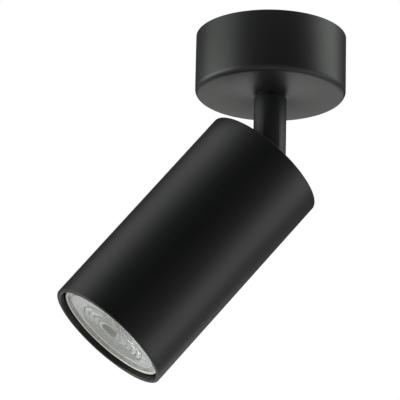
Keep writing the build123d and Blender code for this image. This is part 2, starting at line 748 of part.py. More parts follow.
# Plastic bush that guards the lead where it comes out of the spindle.
with BuildPart() as spindle_bush:
    with BuildSketch(Plane.XY.offset(spindle_top)):
        Circle(spindle_bush_lip_diameter / 2)
    extrude(amount=spindle_bush_lip_thickness)
    fillet(spindle_bush.edges().group_by(Axis.Z)[-1], spindle_bush_lip_thickness / 2)
    with BuildSketch(Plane.XY.offset(spindle_top)):
        Circle(spindle_bore / 2 - thread_clearance)
    extrude(amount=-spindle_bush_depth)
    with BuildSketch(Plane.XY.offset(spindle_top - spindle_bush_depth)):
        Circle(lead_hole_radius)
    extrude(amount=spindle_bush_depth + spindle_bush_lip_thickness, mode=Mode.SUBTRACT)
finish(spindle_bush, "spindle_bush")

# The sleeved lead inside the stem. It ends in the stem's half of the knuckle.
with BuildPart() as stem_lead:
    add_wire([(0, 0, lead_top)] + lead_points(in_stem, -1), lead_bend_radius, lead_diameter)
finish(stem_lead, "stem_lead")

# ============================================================ head body

# Lug of the half lap, with a threaded spigot through the head's rear plate.
with BuildPart() as head_knuckle:
    with BuildSketch(head_plane(-stem_radius)):
        Circle(stem_radius)
    extrude(amount=stem_radius + plate_back)
    with BuildSketch(head_plane(-stem_diameter)):
        with Locations((0, lap_face)):
            Rectangle(2 * stem_diameter, stem_diameter, align=(Align.CENTER, Align.MAX))
    extrude(amount=stem_diameter + knuckle_shoulder, mode=Mode.SUBTRACT)
    cut_round_tip(Plane(origin=pivot, x_dir=head_side, z_dir=(0, 1, 0)))
    with BuildSketch(head_plane(plate_back)):
        Circle(knuckle_spigot_diameter / 2)
    extrude(amount=spigot_end - plate_back)
    with BuildSketch(head_plane(spigot_end)):
        Circle(spigot_bore / 2)
    extrude(amount=-(spigot_end - lead_bore_floor - rear_plate_thickness), mode=Mode.SUBTRACT)
    with BuildSketch(lap_plane(lap_face)):
        Circle(knuckle_cavity_diameter / 2)
    extrude(amount=knuckle_cavity_depth, mode=Mode.SUBTRACT)
    with BuildSketch(lap_plane(0)):
        Circle(pivot_screw_diameter / 2 + thread_clearance)
    extrude(amount=stem_diameter, mode=Mode.SUBTRACT)
    with BuildSketch(lap_plane(nut_seat)):
        Circle(pivot_nut_flats / math.sqrt(3) + face_gap)
    extrude(amount=stem_radius, mode=Mode.SUBTRACT)
    add_wire(lead_points(in_head, 1), lead_bend_radius, 2 * lead_hole_radius, Mode.SUBTRACT)
finish(head_knuckle, "head_knuckle")

# Socket head screw on the tilt axis, its head in the stem's lug.
with BuildPart() as pivot_screw:
    with BuildSketch(lap_plane(-screw_seat)):
        Circle(pivot_screw_diameter / 2)
    extrude(amount=screw_seat + stem_radius)
    with BuildSketch(lap_plane(-screw_seat)):
        Circle(pivot_screw_head_diameter / 2)
    extrude(amount=-pivot_screw_head_height)
    fillet(pivot_screw.edges().group_by(Axis.Y)[0], pivot_screw_head_height / 4)
    with BuildSketch(lap_plane(-stem_radius)):
        RegularPolygon(pivot_screw_key / 2, 6, major_radius=False)
    extrude(amount=pivot_screw_key_depth, mode=Mode.SUBTRACT)
finish(pivot_screw, "pivot_screw")

with BuildPart() as pivot_washer:
    with BuildSketch(lap_plane(nut_seat)):
        Circle(pivot_washer_diameter / 2)
        Circle(pivot_screw_diameter / 2 + screw_clearance, mode=Mode.SUBTRACT)
    extrude(amount=pivot_washer_thickness)
finish(pivot_washer, "pivot_washer")

with BuildPart() as pivot_nut:
    add_nut(lap_plane(nut_seat + pivot_washer_thickness), pivot_nut_flats,
            pivot_screw_diameter / 2 + thread_clearance, pivot_nut_thickness)
finish(pivot_nut, "pivot_nut")

# Turned aluminium tube, open at both ends, with a ledge that the rear plate screws to.
with BuildPart() as head_tube:
    with BuildSketch(head_section()):
        with BuildLine():
            Polyline((head_inner_radius, rear_rim), (head_radius, rear_rim),
                     (head_radius, front_rim), (head_inner_radius, front_rim),
                     (head_inner_radius, ledge_front), (ledge_radius, ledge_front),
                     (ledge_radius, plate_front), (head_inner_radius, plate_front), close=True)
        make_face()
        rim_corners = [(r, w) for r in (head_inner_radius, head_radius) for w in (rear_rim, front_rim)]
        fillet([vertices().sort_by_distance(corner)[0] for corner in rim_corners],
               min(head_edge_radius, head_wall / 3))
    revolve(axis=head_axis)
    with BuildSketch(head_plane(plate_front)):
        with PolarLocations(rear_screw_circle, rear_screw_count):
            Circle(rear_screw_diameter / 2 + thread_clearance)
    extrude(amount=rear_ledge_thickness, mode=Mode.SUBTRACT)
finish(head_tube, "head_tube")

# Rear plate, set into the tube behind the ledge.
foot_screw_places = [(0, -foot_screw_place), (0, foot_screw_place)]
head_earth_place = (head_earth_distance * math.cos(head_earth_turn),
                    head_earth_distance * math.sin(head_earth_turn))
with BuildPart() as rear_plate:
    with BuildSketch(head_plane(plate_back)):
        Circle(plate_radius)
        Circle(knuckle_spigot_diameter / 2 + screw_clearance, mode=Mode.SUBTRACT)
        with PolarLocations(rear_screw_circle, rear_screw_count):
            Circle(rear_screw_diameter / 2 + screw_clearance, mode=Mode.SUBTRACT)
        with Locations(*foot_screw_places):
            Circle(bracket_screw_diameter / 2 + thread_clearance, mode=Mode.SUBTRACT)
        with Locations(head_earth_place):
            Circle(earth_screw_diameter / 2 + thread_clearance, mode=Mode.SUBTRACT)
    extrude(amount=rear_plate_thickness)
finish(rear_plate, "rear_plate")

with BuildPart() as rear_plate_screws:
    with BuildSketch(head_plane(plate_back)):
        with PolarLocations(rear_screw_circle, rear_screw_count):
            Circle(rear_screw_diameter / 2)
    extrude(amount=min(rear_screw_length, rear_plate_thickness + rear_ledge_thickness))
    with BuildSketch(head_plane(plate_back)):
        with PolarLocations(rear_screw_circle, rear_screw_count):
            Circle(rear_screw_head_diameter / 2)
    extrude(amount=-rear_screw_head_height)
    head_tops = rear_plate_screws.edges().group_by(head_axis)[0]
    fillet(head_tops, rear_screw_head_height / 3)
    with BuildSketch(head_plane(plate_back - rear_screw_head_height)):
        with PolarLocations(rear_screw_circle, rear_screw_count):
            Rectangle(rear_screw_cross, rear_screw_cross_width)
            Rectangle(rear_screw_cross_width, rear_screw_cross)
    extrude(amount=rear_screw_head_height / 2, mode=Mode.SUBTRACT)
finish(rear_plate_screws, "rear_plate_screws")

# Toothed washer and nut on the knuckle's spigot, inside the head.
with BuildPart() as knuckle_washer:
    with BuildSketch(head_plane(plate_front)):
        Circle(knuckle_washer_diameter / 2)
        Circle(knuckle_spigot_diameter / 2 + screw_clearance, mode=Mode.SUBTRACT)
        with PolarLocations(knuckle_washer_diameter / 2, knuckle_washer_teeth):
            Rectangle(knuckle_washer_thickness, knuckle_washer_thickness, rotation=45,
                      mode=Mode.SUBTRACT)
    extrude(amount=knuckle_washer_thickness)
finish(knuckle_washer, "knuckle_washer")

with BuildPart() as knuckle_nut:
    add_nut(head_plane(knuckle_washer_front), knuckle_nut_flats,
            knuckle_spigot_diameter / 2 + thread_clearance, knuckle_nut_thickness)
finish(knuckle_nut, "knuckle_nut")

# Bridge of bent steel strip that carries the lamp holder on the rear plate.
bridge_plane = Plane(origin=pivot, x_dir=(0, 1, 0), z_dir=head_side)
with BuildPart() as holder_bracket:
    with BuildSketch(bridge_plane):
        with Locations((0, plate_front)):
            Rectangle(2 * bracket_foot_end, bracket_thickness, align=(Align.CENTER, Align.MIN))
            Rectangle(bracket_span, holder_rear - plate_front, align=(Align.CENTER, Align.MIN))
            Rectangle(bracket_span - 2 * bracket_thickness,
                      holder_rear - plate_front - bracket_thickness,
                      align=(Align.CENTER, Align.MIN), mode=Mode.SUBTRACT)
        bends = [(side * bracket_span / 2, w) for side in (1, -1)
                 for w in (holder_rear, plate_front + bracket_thickness)]
        fillet([vertices().sort_by_distance(bend)[0] for bend in bends], bracket_bend_radius)
    extrude(amount=bracket_width / 2, both=True)
    with BuildSketch(head_plane(bracket_rear)):
        Circle(bracket_bore / 2)
        with Locations((0, holder_screw_spacing / 2), (0, -holder_screw_spacing / 2)):
            Circle(holder_screw_diameter / 2 + screw_clearance)
    extrude(amount=bracket_thickness, mode=Mode.SUBTRACT)
    with BuildSketch(head_plane(plate_front)):
        with Locations(*foot_screw_places):
            Circle(bracket_screw_diameter / 2 + screw_clearance)
    extrude(amount=bracket_thickness, mode=Mode.SUBTRACT)
finish(holder_bracket, "holder_bracket")

with BuildPart() as bracket_screws:
    with BuildSketch(head_plane(plate_back)):
        with Locations(*foot_screw_places):
            Circle(bracket_screw_diameter / 2)
    extrude(amount=rear_plate_thickness + bracket_thickness)
    with BuildSketch(head_plane(plate_front + bracket_thickness)):
        with Locations(*foot_screw_places):
            Circle(bracket_screw_head_diameter / 2)
    extrude(amount=bracket_screw_head_height)
    fillet(bracket_screws.edges().group_by(head_axis)[-1], bracket_screw_head_height / 3)
finish(bracket_screws, "bracket_screws")

# Ceramic lamp holder in two halves. The front has curved slots for the lamp's pins.
holder_screw_places = [(0, holder_screw_spacing / 2), (0, -holder_screw_spacing / 2)]
channel_width = pin_foot_diameter + 2 * slot_clearance
slot_width = pin_shank_diameter + 2 * slot_clearance
with BuildPart() as holder_front:
    with BuildSketch(head_plane(holder_joint)):
        Circle(holder_diameter / 2)
    extrude(amount=holder_front_depth)
    fillet(holder_front.edges().group_by(head_axis)[-1], holder_face_thickness / 3)
    for first_angle in (0, 180):
        turn = CenterArc((0, 0), pin_spacing / 2, first_angle, release_turn, mode=Mode.PRIVATE)
        with BuildSketch(head_plane(holder_joint)):
            SlotArc(turn, channel_width)
        extrude(amount=holder_front_depth - holder_face_thickness, mode=Mode.SUBTRACT)
        with BuildSketch(head_plane(slot_rear)):
            SlotArc(turn, slot_width)
            with Locations(turn @ 1):
                Circle(channel_width / 2)
        extrude(amount=holder_face_thickness, mode=Mode.SUBTRACT)
    with BuildSketch(head_plane(holder_joint)):
        with Locations(*holder_screw_places):
            Circle(holder_screw_diameter / 2 + screw_clearance)
    extrude(amount=holder_front_depth, mode=Mode.SUBTRACT)
    with BuildSketch(head_plane(lamp_base_end)):
        with Locations(*holder_screw_places):
            Circle(holder_screw_head_diameter / 2 + screw_clearance)
    extrude(amount=-(holder_screw_head_height + face_gap), mode=Mode.SUBTRACT)
finish(holder_front, "holder_front")

with BuildPart() as holder_back:
    with BuildSketch(head_plane(holder_rear)):
        Circle(holder_diameter / 2)
        with Locations(*holder_screw_places):
            Circle(holder_screw_diameter / 2 + screw_clearance, mode=Mode.SUBTRACT)
        with Locations((contact_wire_place, 0), (-contact_wire_place, 0)):
            Circle(wire_diameter / 2 + thread_clearance, mode=Mode.SUBTRACT)
    extrude(amount=holder_back_depth)
    fillet(holder_back.edges().filter_by(GeomType.CIRCLE).group_by(head_axis)[0].sort_by(
        SortBy.RADIUS)[-1], holder_face_thickness / 3)
finish(holder_back, "holder_back")

# Folded brass contact behind each pin.
contact_height = contact_front - holder_joint
with BuildPart() as holder_contacts:
    for side in (1, -1):
        fold_line = Plane(origin=in_head(side * (pin_spacing - contact_width) / 2,
                                         -side * contact_heel, holder_joint),
                          x_dir=(0, side, 0), z_dir=side * head_side)
        with BuildSketch(fold_line):
            Rectangle(contact_length, contact_height, align=Align.MIN)
            with Locations((contact_thickness, contact_thickness)):
                Rectangle(contact_length, contact_height - 2 * contact_thickness,
                          align=Align.MIN, mode=Mode.SUBTRACT)
        extrude(amount=contact_width)
finish(holder_contacts, "holder_contacts")

with BuildPart() as holder_screws:
    with BuildSketch(head_plane(lamp_base_end - face_gap)):
        with Locations(*holder_screw_places):
            Circle(holder_screw_head_diameter / 2)
    extrude(amount=-holder_screw_head_height)
    with BuildSketch(head_plane(bracket_rear - holder_nut_thickness)):
        with Locations(*holder_screw_places):
            Circle(holder_screw_diameter / 2)
    extrude(amount=lamp_base_end - face_gap - holder_screw_head_height - bracket_rear
            + holder_nut_thickness)
    with BuildSketch(head_plane(lamp_base_end - face_gap)):
        with Locations(*holder_screw_places):
            Rectangle(holder_screw_head_diameter, holder_screw_head_diameter / 6)
    extrude(amount=-holder_screw_head_height / 2, mode=Mode.SUBTRACT)
finish(holder_screws, "holder_screws")

with BuildPart() as holder_nuts:
    for place in holder_screw_places:
        nut_plane = Plane(origin=in_head(place[0], place[1], bracket_rear), x_dir=head_side,
                          z_dir=-head_direction)
        add_nut(nut_plane, holder_nut_flats, holder_screw_diameter / 2 + thread_clearance,
                holder_nut_thickness)
finish(holder_nuts, "holder_nuts")

# The sleeved lead from the knuckle into the head.
with BuildPart() as head_lead:
    add_wire([in_head(0, 0, head_lead_end)] + lead_points(in_head, 1), lead_bend_radius,
             lead_diameter)
finish(head_lead, "head_lead")


def holder_wire_points(place, side):
    """Route of one wire from the end of the lead into the holder's back."""
    return [in_head(place[0], place[1], head_lead_end),
            in_head(place[0], place[1], head_lead_end + wire_bend_radius),
            in_head(side * contact_wire_place, 0, holder_rear - wire_bend_radius),
            in_head(side * contact_wire_place, 0, holder_joint)]


with BuildPart() as holder_live_wire:
    add_wire(holder_wire_points(live_place, -1), wire_bend_radius, wire_diameter)
finish(holder_live_wire, "holder_live_wire")

with BuildPart() as holder_neutral_wire:
    add_wire(holder_wire_points(neutral_place, 1), wire_bend_radius, wire_diameter)
finish(holder_neutral_wire, "holder_neutral_wire")

# Earth wire from the lead to a tag on the rear plate.
earth_reach = head_side * math.cos(head_earth_turn) + Vector(0, math.sin(head_earth_turn), 0)
head_tag_plane = Plane(origin=in_head(*head_earth_place, plate_front), x_dir=-earth_reach,
                       z_dir=head_direction)
head_tag_mouth = head_earth_distance - earth_tag_diameter / 2 - earth_barrel_length


def towards_tag(reach, distance):
    """Point on the line from the head's axis to the earth screw, at this distance along the head."""
    return pivot + earth_reach * reach + head_direction * distance


with BuildPart() as head_earth_tag:
    add_ring_tag(head_tag_plane, earth_screw_diameter / 2 + screw_clearance)
finish(head_earth_tag, "head_earth_tag")

with BuildPart() as head_earth_screw:
    with BuildSketch(head_plane(plate_back)):
        with Locations(head_earth_place):
            Circle(earth_screw_diameter / 2)
    extrude(amount=rear_plate_thickness + earth_tag_thickness)
    with BuildSketch(head_plane(plate_front + earth_tag_thickness)):
        with Locations(head_earth_place):
            Circle(earth_screw_head_diameter / 2)
    extrude(amount=earth_screw_head_height)
    fillet(head_earth_screw.edges().group_by(head_axis)[-1], earth_screw_head_height / 3)
finish(head_earth_screw, "head_earth_screw")

barrel_line = plate_front + earth_barrel_lift
over_nut = head_lead_end + earth_wire_rise
with BuildPart() as head_earth_wire:
    add_wire([in_head(*earth_place, head_lead_end),
              in_head(*earth_place, over_nut),
              towards_tag(knuckle_nut_flats / 2 + wire_diameter, over_nut - wire_diameter),
              towards_tag(head_tag_mouth - small_bend_radius, barrel_line),
              towards_tag(head_tag_mouth + earth_barrel_length / 2, barrel_line)],
             small_bend_radius, wire_diameter)
finish(head_earth_wire, "head_earth_wire")

# ============================================================ lamp body


def lamp_outside(distance):
    """The lamp's outer radius, this far behind its face, on the coned part."""
    share = (distance - lamp_rim_height) / (lamp_neck_distance - lamp_rim_height)
    return lamp_radius + (lamp_neck_diameter / 2 - lamp_radius) * share


def lamp_inside(distance):
    """The inner radius there."""
    return lamp_outside(distance) - lamp_wall


# Coned body with a lens seat at the front and a web across it that carries the LED board.
seat_radius = lamp_radius - lamp_wall
ledge_edge = seat_radius - lens_ledge_width
slope = (lamp_radius - lamp_neck_diameter / 2) / (lamp_neck_distance - lamp_rim_height)
ledge_depth = lamp_rim_height + lens_ledge_width / slope
web_front = lamp_face - led_board_back
web_back = web_front + lamp_web_thickness
neck_inside = lamp_neck_diameter / 2 - lamp_wall
with BuildPart() as lamp_housing:
    with BuildSketch(head_section()):
        with BuildLine():
            Polyline((0, lamp_face), (lamp_radius, lamp_face),
                     (lamp_radius, lamp_face - lamp_rim_height),
                     (lamp_neck_diameter / 2, neck_front), (lamp_neck_diameter / 2, neck_rear),
                     (0, neck_rear), close=True)
        make_face()
        with BuildLine():
            Polyline((0, lamp_face), (seat_radius, lamp_face), (seat_radius, optic_back),
                     (ledge_edge, optic_back), (ledge_edge, lamp_face - ledge_depth),
                     (lamp_inside(web_front), led_board_back), (0, led_board_back), close=True)
        make_face(mode=Mode.SUBTRACT)
        with BuildLine():
            Polyline((0, lamp_face - web_back), (lamp_inside(web_back), lamp_face - web_back),
                     (neck_inside, neck_front), (neck_inside, neck_rear), (0, neck_rear), close=True)
        make_face(mode=Mode.SUBTRACT)
        fillet(vertices().sort_by_distance((lamp_radius, lamp_face))[0], lamp_wall / 3)
    revolve(axis=head_axis)
finish(lamp_housing, "lamp_housing")

# Plastic base that plugs into the body's neck and carries the pins.
with BuildPart() as lamp_base:
    with BuildSketch(head_section()):
        with BuildLine():
            Polyline((0, lamp_base_end), (base_radius, lamp_base_end), (base_radius, neck_rear),
                     (neck_inside - thread_clearance, neck_rear),
                     (neck_inside - thread_clearance, neck_rear + base_plug_height),
                     (base_inside, neck_rear + base_plug_height),
                     (base_inside, lamp_base_end + lamp_floor_thickness),
                     (0, lamp_base_end + lamp_floor_thickness), close=True)
        make_face()
    revolve(axis=head_axis)
    with BuildSketch(head_plane(lamp_base_end)):
        with Locations((pin_spacing / 2, 0), (-pin_spacing / 2, 0)):
            Circle(pin_shank_diameter / 2 + thread_clearance)
    extrude(amount=lamp_floor_thickness, mode=Mode.SUBTRACT)
finish(lamp_base, "lamp_base")

# Two stepped contact pins.
with BuildPart() as lamp_pins:
    with BuildSketch(head_plane(pin_end)):
        with Locations((pin_spacing / 2, 0), (-pin_spacing / 2, 0)):
            Circle(pin_foot_diameter / 2)
    extrude(amount=pin_foot_height)
    fillet(lamp_pins.edges(), pin_foot_height / 6)
    with BuildSketch(head_plane(pin_end + pin_foot_height)):
        with Locations((pin_spacing / 2, 0), (-pin_spacing / 2, 0)):
            Circle(pin_shank_diameter / 2)
    extrude(amount=pin_length - pin_foot_height + pin_root)
finish(lamp_pins, "lamp_pins")

# Driver board, standing on the base's floor beside the pins.
driver_start = pin_shank_diameter / 2 + thread_clearance
with BuildPart() as driver_board:
    with BuildSketch(head_plane(lamp_base_end + lamp_floor_thickness)):
        with Locations((0, driver_start)):
            Rectangle(driver_board_width, driver_board_thickness, align=(Align.CENTER, Align.MIN))
    extrude(amount=driver_board_length)
finish(driver_board, "driver_board")

# LED board on the web, and the emitter on it.
with BuildPart() as led_board:
    with BuildSketch(head_plane(led_board_back)):
        Circle(lamp_inside(web_front) - face_gap)
    extrude(amount=led_board_thickness)
finish(led_board, "led_board")

with BuildPart() as led_emitter:
    with BuildSketch(head_plane(led_board_front)):
        Circle(emitter_diameter / 2)
    extrude(amount=emitter_height)
    fillet(led_emitter.edges().group_by(head_axis)[-1], emitter_height / 3)
finish(led_emitter, "led_emitter")

# Moulded lens: a flange in the seat, a coned bowl behind it and a well in the middle.
well_radius = optic_well_diameter / 2
bowl_radius = optic_bowl_diameter / 2
root_radius = optic_root_diameter / 2
pocket_radius = emitter_diameter / 2 + face_gap
with BuildPart() as lamp_lens:
    with BuildSketch(head_section()):
        with BuildLine():
            Polyline((0, optic_front - optic_well_depth),
                     (optic_well_floor_diameter / 2, optic_front - optic_well_depth),
                     (well_radius, optic_front), (optic_radius, optic_front),
                     (optic_radius, optic_back), (bowl_radius, optic_back),
                     (root_radius, optic_root), (pocket_radius, optic_root),
                     (pocket_radius, optic_root + optic_pocket_depth),
                     (0, optic_root + optic_pocket_depth), close=True)
        make_face()
        with Locations((optic_ring_diameter / 2, optic_front)):
            Rectangle(optic_ring_width, optic_ring_height, align=(Align.CENTER, Align.MIN))
        for step in range(optic_groove_count):
            groove_place = well_radius + (bowl_radius - well_radius) * (step + 1) / optic_groove_count
            with Locations((groove_place, optic_front)):
                Circle(optic_groove_depth, mode=Mode.SUBTRACT)
    revolve(axis=head_axis)
finish(lamp_lens, "lamp_lens")

# ============================================================ export
os.makedirs("parts", exist_ok=True)
for piece in pieces:
    export_step(piece, f"parts/{piece.label}.step")
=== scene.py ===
"""Surface mounted ceiling spotlight: the finish of every piece and a studio to show it in.

Everything is in metres in the CAD frame: the ceiling is the plane z = 0, the stem pans about Z,
and the head tilts about a line along Y through the knuckle.
"""

import json
import math

import bmesh
import bpy
from mathutils import Matrix, Vector


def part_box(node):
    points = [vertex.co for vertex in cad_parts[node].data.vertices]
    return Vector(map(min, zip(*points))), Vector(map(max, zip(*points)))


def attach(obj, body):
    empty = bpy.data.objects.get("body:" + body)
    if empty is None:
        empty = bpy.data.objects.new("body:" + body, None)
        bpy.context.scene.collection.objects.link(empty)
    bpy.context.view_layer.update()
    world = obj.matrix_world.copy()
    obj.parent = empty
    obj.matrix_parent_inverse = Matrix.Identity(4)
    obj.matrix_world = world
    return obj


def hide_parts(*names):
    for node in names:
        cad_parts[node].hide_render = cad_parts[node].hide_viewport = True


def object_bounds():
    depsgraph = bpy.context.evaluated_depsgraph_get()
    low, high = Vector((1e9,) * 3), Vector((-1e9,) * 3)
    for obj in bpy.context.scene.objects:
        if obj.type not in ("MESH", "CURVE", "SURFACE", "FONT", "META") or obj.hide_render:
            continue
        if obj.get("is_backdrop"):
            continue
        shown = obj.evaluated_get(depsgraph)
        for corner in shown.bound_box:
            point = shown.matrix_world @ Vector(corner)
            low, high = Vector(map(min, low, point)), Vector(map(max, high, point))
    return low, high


bl_info = {
    "name": "Ceiling Spotlight",
    "version": (1, 0, 0),
    "blender": (4, 5, 0),
    "location": "View3D > Sidebar > Spotlight",
    "description": "Dresses a surface mounted ceiling spotlight and sets up its studio",
    "category": "Add Mesh",
}

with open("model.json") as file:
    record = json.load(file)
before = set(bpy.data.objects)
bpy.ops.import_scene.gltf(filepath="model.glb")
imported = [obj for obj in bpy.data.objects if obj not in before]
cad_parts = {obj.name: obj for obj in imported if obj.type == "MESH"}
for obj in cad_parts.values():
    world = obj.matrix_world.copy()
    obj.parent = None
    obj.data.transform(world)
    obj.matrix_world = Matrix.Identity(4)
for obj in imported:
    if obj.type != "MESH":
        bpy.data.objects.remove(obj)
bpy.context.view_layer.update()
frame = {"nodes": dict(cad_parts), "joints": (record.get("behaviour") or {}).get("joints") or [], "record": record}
nodes = frame["nodes"]
joints = {joint["name"]: joint for joint in frame["joints"]}

MM = 0.001
FULL_TURN = 2 * math.pi
SAME_POINT = 0.001 * MM

# The canopy and stem stand on the pan axis. The head and lamp lie along the head's axis, with x
# towards the head's upper side, y along the tilt axis and z from the tilt axis to the lamp's face.
ceiling = Matrix.Identity(4)
pivot = Vector(joints["tilt"]["pos_m"])
head_axis = Vector(joints["lamp_twist"]["axis"]).normalized()
tilt_axis = Vector(joints["tilt"]["axis"]).normalized()
head_side = tilt_axis.cross(head_axis)
head = Matrix.Translation(pivot) @ Matrix((head_side, tilt_axis, head_axis)).transposed().to_4x4()
hanging = Matrix.Translation(pivot)
along_tilt = Matrix.Rotation(-math.pi / 2, 4, "X")

# The canopy's cup and the head's tube.
CUP_WALL = 1.2 * MM
GRUB_SCREW_GAP = 0.2 * MM
TUBE_WALL = 2.0 * MM
TUBE_LEDGE = 3.0 * MM

# The half lap, from the tilt axis.
LAP_FACE = 0.15 * MM
LAP_SHOULDER = 7.25 * MM
LAP_CAVITY = 5.3 * MM
LAP_CAVITY_END = 3.55 * MM
PIVOT_HOLE = 1.55 * MM
SCREW_SEAT = 5.2 * MM
SCREW_SEAT_RADIUS = 3.3 * MM
NUT_SEAT = 4.5 * MM
NUT_SEAT_RADIUS = 3.475 * MM
SPIGOT_RADIUS = 5.0 * MM
SPIGOT_BORE = 3.0 * MM

# The lamp's body and its lens.
LAMP_WALL = 1.3 * MM
LAMP_RIM_HEIGHT = 4.0 * MM
LAMP_NECK_RADIUS = 14.5 * MM
LAMP_NECK_START = 34.0 * MM
LAMP_WEB = 2.0 * MM
LENS_LEDGE = 1.2 * MM
LENS_FLANGE = 1.6 * MM
LENS_RING = 21.8 * MM
LENS_RING_WIDTH = 0.7 * MM
LENS_RING_HEIGHT = 0.3 * MM
BOWL_RADIUS = 18.5 * MM
BOWL_ROOT = 7.0 * MM
WELL_RADIUS = 5.0 * MM
WELL_FLOOR = 3.5 * MM
WELL_DEPTH = 4.0 * MM
POCKET_RADIUS = 4.3 * MM
POCKET_DEPTH = 3.0 * MM
GROOVES = 4
GROOVE_PITCH = 2.6 * MM
GROOVE_WIDTH = 2.5 * MM
GROOVE_DEPTH = 0.2 * MM
GROOVE_STEPS = 12

# Roundings: the segments alone where the radius is a setting, or else (radius, segments).
CUP_INNER_SEGMENTS = 8
CUP_OUTER_SEGMENTS = 12
RIM_SEGMENTS = 6
BODY_FACE_OUTSIDE = (0.45 * MM, 5)
BODY_FACE_INSIDE = (0.2 * MM, 3)
BODY_SHOULDER = (0.8 * MM, 4)
LENS_RING_EDGE = (0.1 * MM, 2)
LENS_WELL_EDGE = (0.3 * MM, 3)

BREAK_ANGLE = math.radians(35)
SHARP_ANGLE = math.radians(32)

COAT_ROUGHNESS = 0.42
STEM_COAT_ROUGHNESS = 0.52

# The studio. A soft box is its name, its angle round the object (0 is the camera's side, 90 its
# right and 180 behind), its angle above the camera's level, both in degrees, its width and height
# in metres, and its level, where 1 is white.
SOFTBOXES = (
    ("overhead_softbox", 180, 66, 1.0, 0.8, 1.6),
    ("left_strip", -88, 0, 1.5, 0.8, 2.0),
    ("left_softbox", -90, 12, 1.4, 2.6, 0.8),
    ("right_softbox", 103, 17, 0.95, 1.6, 1.6),
    ("right_low_softbox", 75, -33, 0.9, 0.8, 1.0),
    ("low_softbox", 178, -38, 1.3, 0.8, 0.6),
)
SOFTBOX_COLOUR = "#fbfffb"
WATTS_AT_WHITE = 4  # for each square metre of a soft box, to make its face white
SENSOR_WIDTH_MM = 36
NEAREST_SEEN = 0.01
FLOOR_HALF_WIDTH = 30.0
FLOOR_HEIGHT = -1.8
FLOOR_SHOWN = 0.5  # added to the floor's level for the camera alone
DIFFUSE_LEVEL = 0.25
MIRRORED_AROUND, MIRRORED_OVERHEAD = 0.03, 0.8
OVERHEAD_STARTS, OVERHEAD_FULL = 0.7, 0.97  # by the upward part of the ray's direction


def linear(hex_colour):
    """Linear RGB of an sRGB hex colour."""
    channels = [int(hex_colour[start:start + 2], 16) / 255 for start in (1, 3, 5)]
    return [c / 12.92 if c <= 0.04045 else ((c + 0.055) / 1.055) ** 2.4 for c in channels]


def corners(node, place):
    """A CAD node's points in a place's own axes."""
    back = place.inverted()
    return [back @ vertex.co for vertex in nodes[node].data.vertices]


def reach(node, place):
    """Where a CAD node starts and ends along a place's axis, and its greatest radius about it."""
    points = corners(node, place)
    heights = [point.z for point in points]
    return min(heights), max(heights), max(point.xy.length for point in points)


def least_radius(node, place):
    """The radius of the hole through a CAD node."""
    return min(point.xy.length for point in corners(node, place))


# ------------------------------------------------------------------ sizes and colours


class SpotlightSettings(bpy.types.PropertyGroup):
    """Sizes and colours that a user would change."""

    turn_steps: bpy.props.IntProperty(
        name="Steps round a turned piece", description="Faces round each turned piece",
        default=160, min=24, max=512)
    canopy_edge: bpy.props.FloatProperty(
        name="Canopy edge", description="Radius of the cup's lower edge",
        default=2.5 * MM, unit="LENGTH")
    rim_edge: bpy.props.FloatProperty(
        name="Head rim edge", description="Radius of the tube's rims",
        default=0.5 * MM, unit="LENGTH")
    stem_chamfer: bpy.props.FloatProperty(
        name="Stem chamfer", description="Chamfer at the top of the stem",
        default=0.8 * MM, unit="LENGTH")
    small_edge: bpy.props.FloatProperty(
        name="Small edges", description="Broken edge of machined pieces",
        default=0.15 * MM, unit="LENGTH")
    cup_colour: bpy.props.FloatVectorProperty(
        name="Coat on steel", description="Colour of the powder coat on the canopy",
        subtype="COLOR", default=linear("#1c1e1d"))
    stem_colour: bpy.props.FloatVectorProperty(
        name="Coat on the stem", description="Colour of the powder coat on the stem and knuckle",
        subtype="COLOR", default=linear("#202322"))
    coat_colour: bpy.props.FloatVectorProperty(
        name="Coat on aluminium", description="Colour of the powder coat on the head",
        subtype="COLOR", default=linear("#090c0c"))
    lamp_colour: bpy.props.FloatVectorProperty(
        name="Lamp body", description="Colour of the lamp's moulded body",
        subtype="COLOR", default=linear("#eeebe2"))
    lens_colour: bpy.props.FloatVectorProperty(
        name="Lens", description="Tint of the clear lens",
        subtype="COLOR", default=linear("#fdfefe"))
    light_distance: bpy.props.FloatProperty(
        name="Light distance", description="From the middle of the object to the soft boxes",
        default=1.3, unit="LENGTH")
    camera_distance: bpy.props.FloatProperty(
        name="Camera distance",
        description="Along the line of sight, to the ceiling point above the stem",
        default=1.3938, unit="LENGTH")
    camera_lens: bpy.props.FloatProperty(
        name="Focal length", description="On a sensor 36 mm wide, in millimetres", default=295.54)
    camera_azimuth: bpy.props.FloatProperty(
        name="Azimuth", description="Turn of the camera round the object, from the front",
        default=math.radians(-5.17), subtype="ANGLE")
    camera_elevation: bpy.props.FloatProperty(
        name="Elevation", description="Height of the camera above the horizon",
        default=math.radians(-19.09), subtype="ANGLE")
    camera_roll: bpy.props.FloatProperty(
        name="Roll", description="Turn of the camera about its own line of sight",
        default=math.radians(1.318), subtype="ANGLE")
    aim_left: bpy.props.FloatProperty(
        name="Aim left", description="How far left of the ceiling point above the stem it aims",
        default=30.23 * MM, unit="LENGTH")
    aim_down: bpy.props.FloatProperty(
        name="Aim down", description="How far below the ceiling point above the stem it aims",
        default=68.78 * MM, unit="LENGTH")


# ------------------------------------------------------------------ mesh helpers


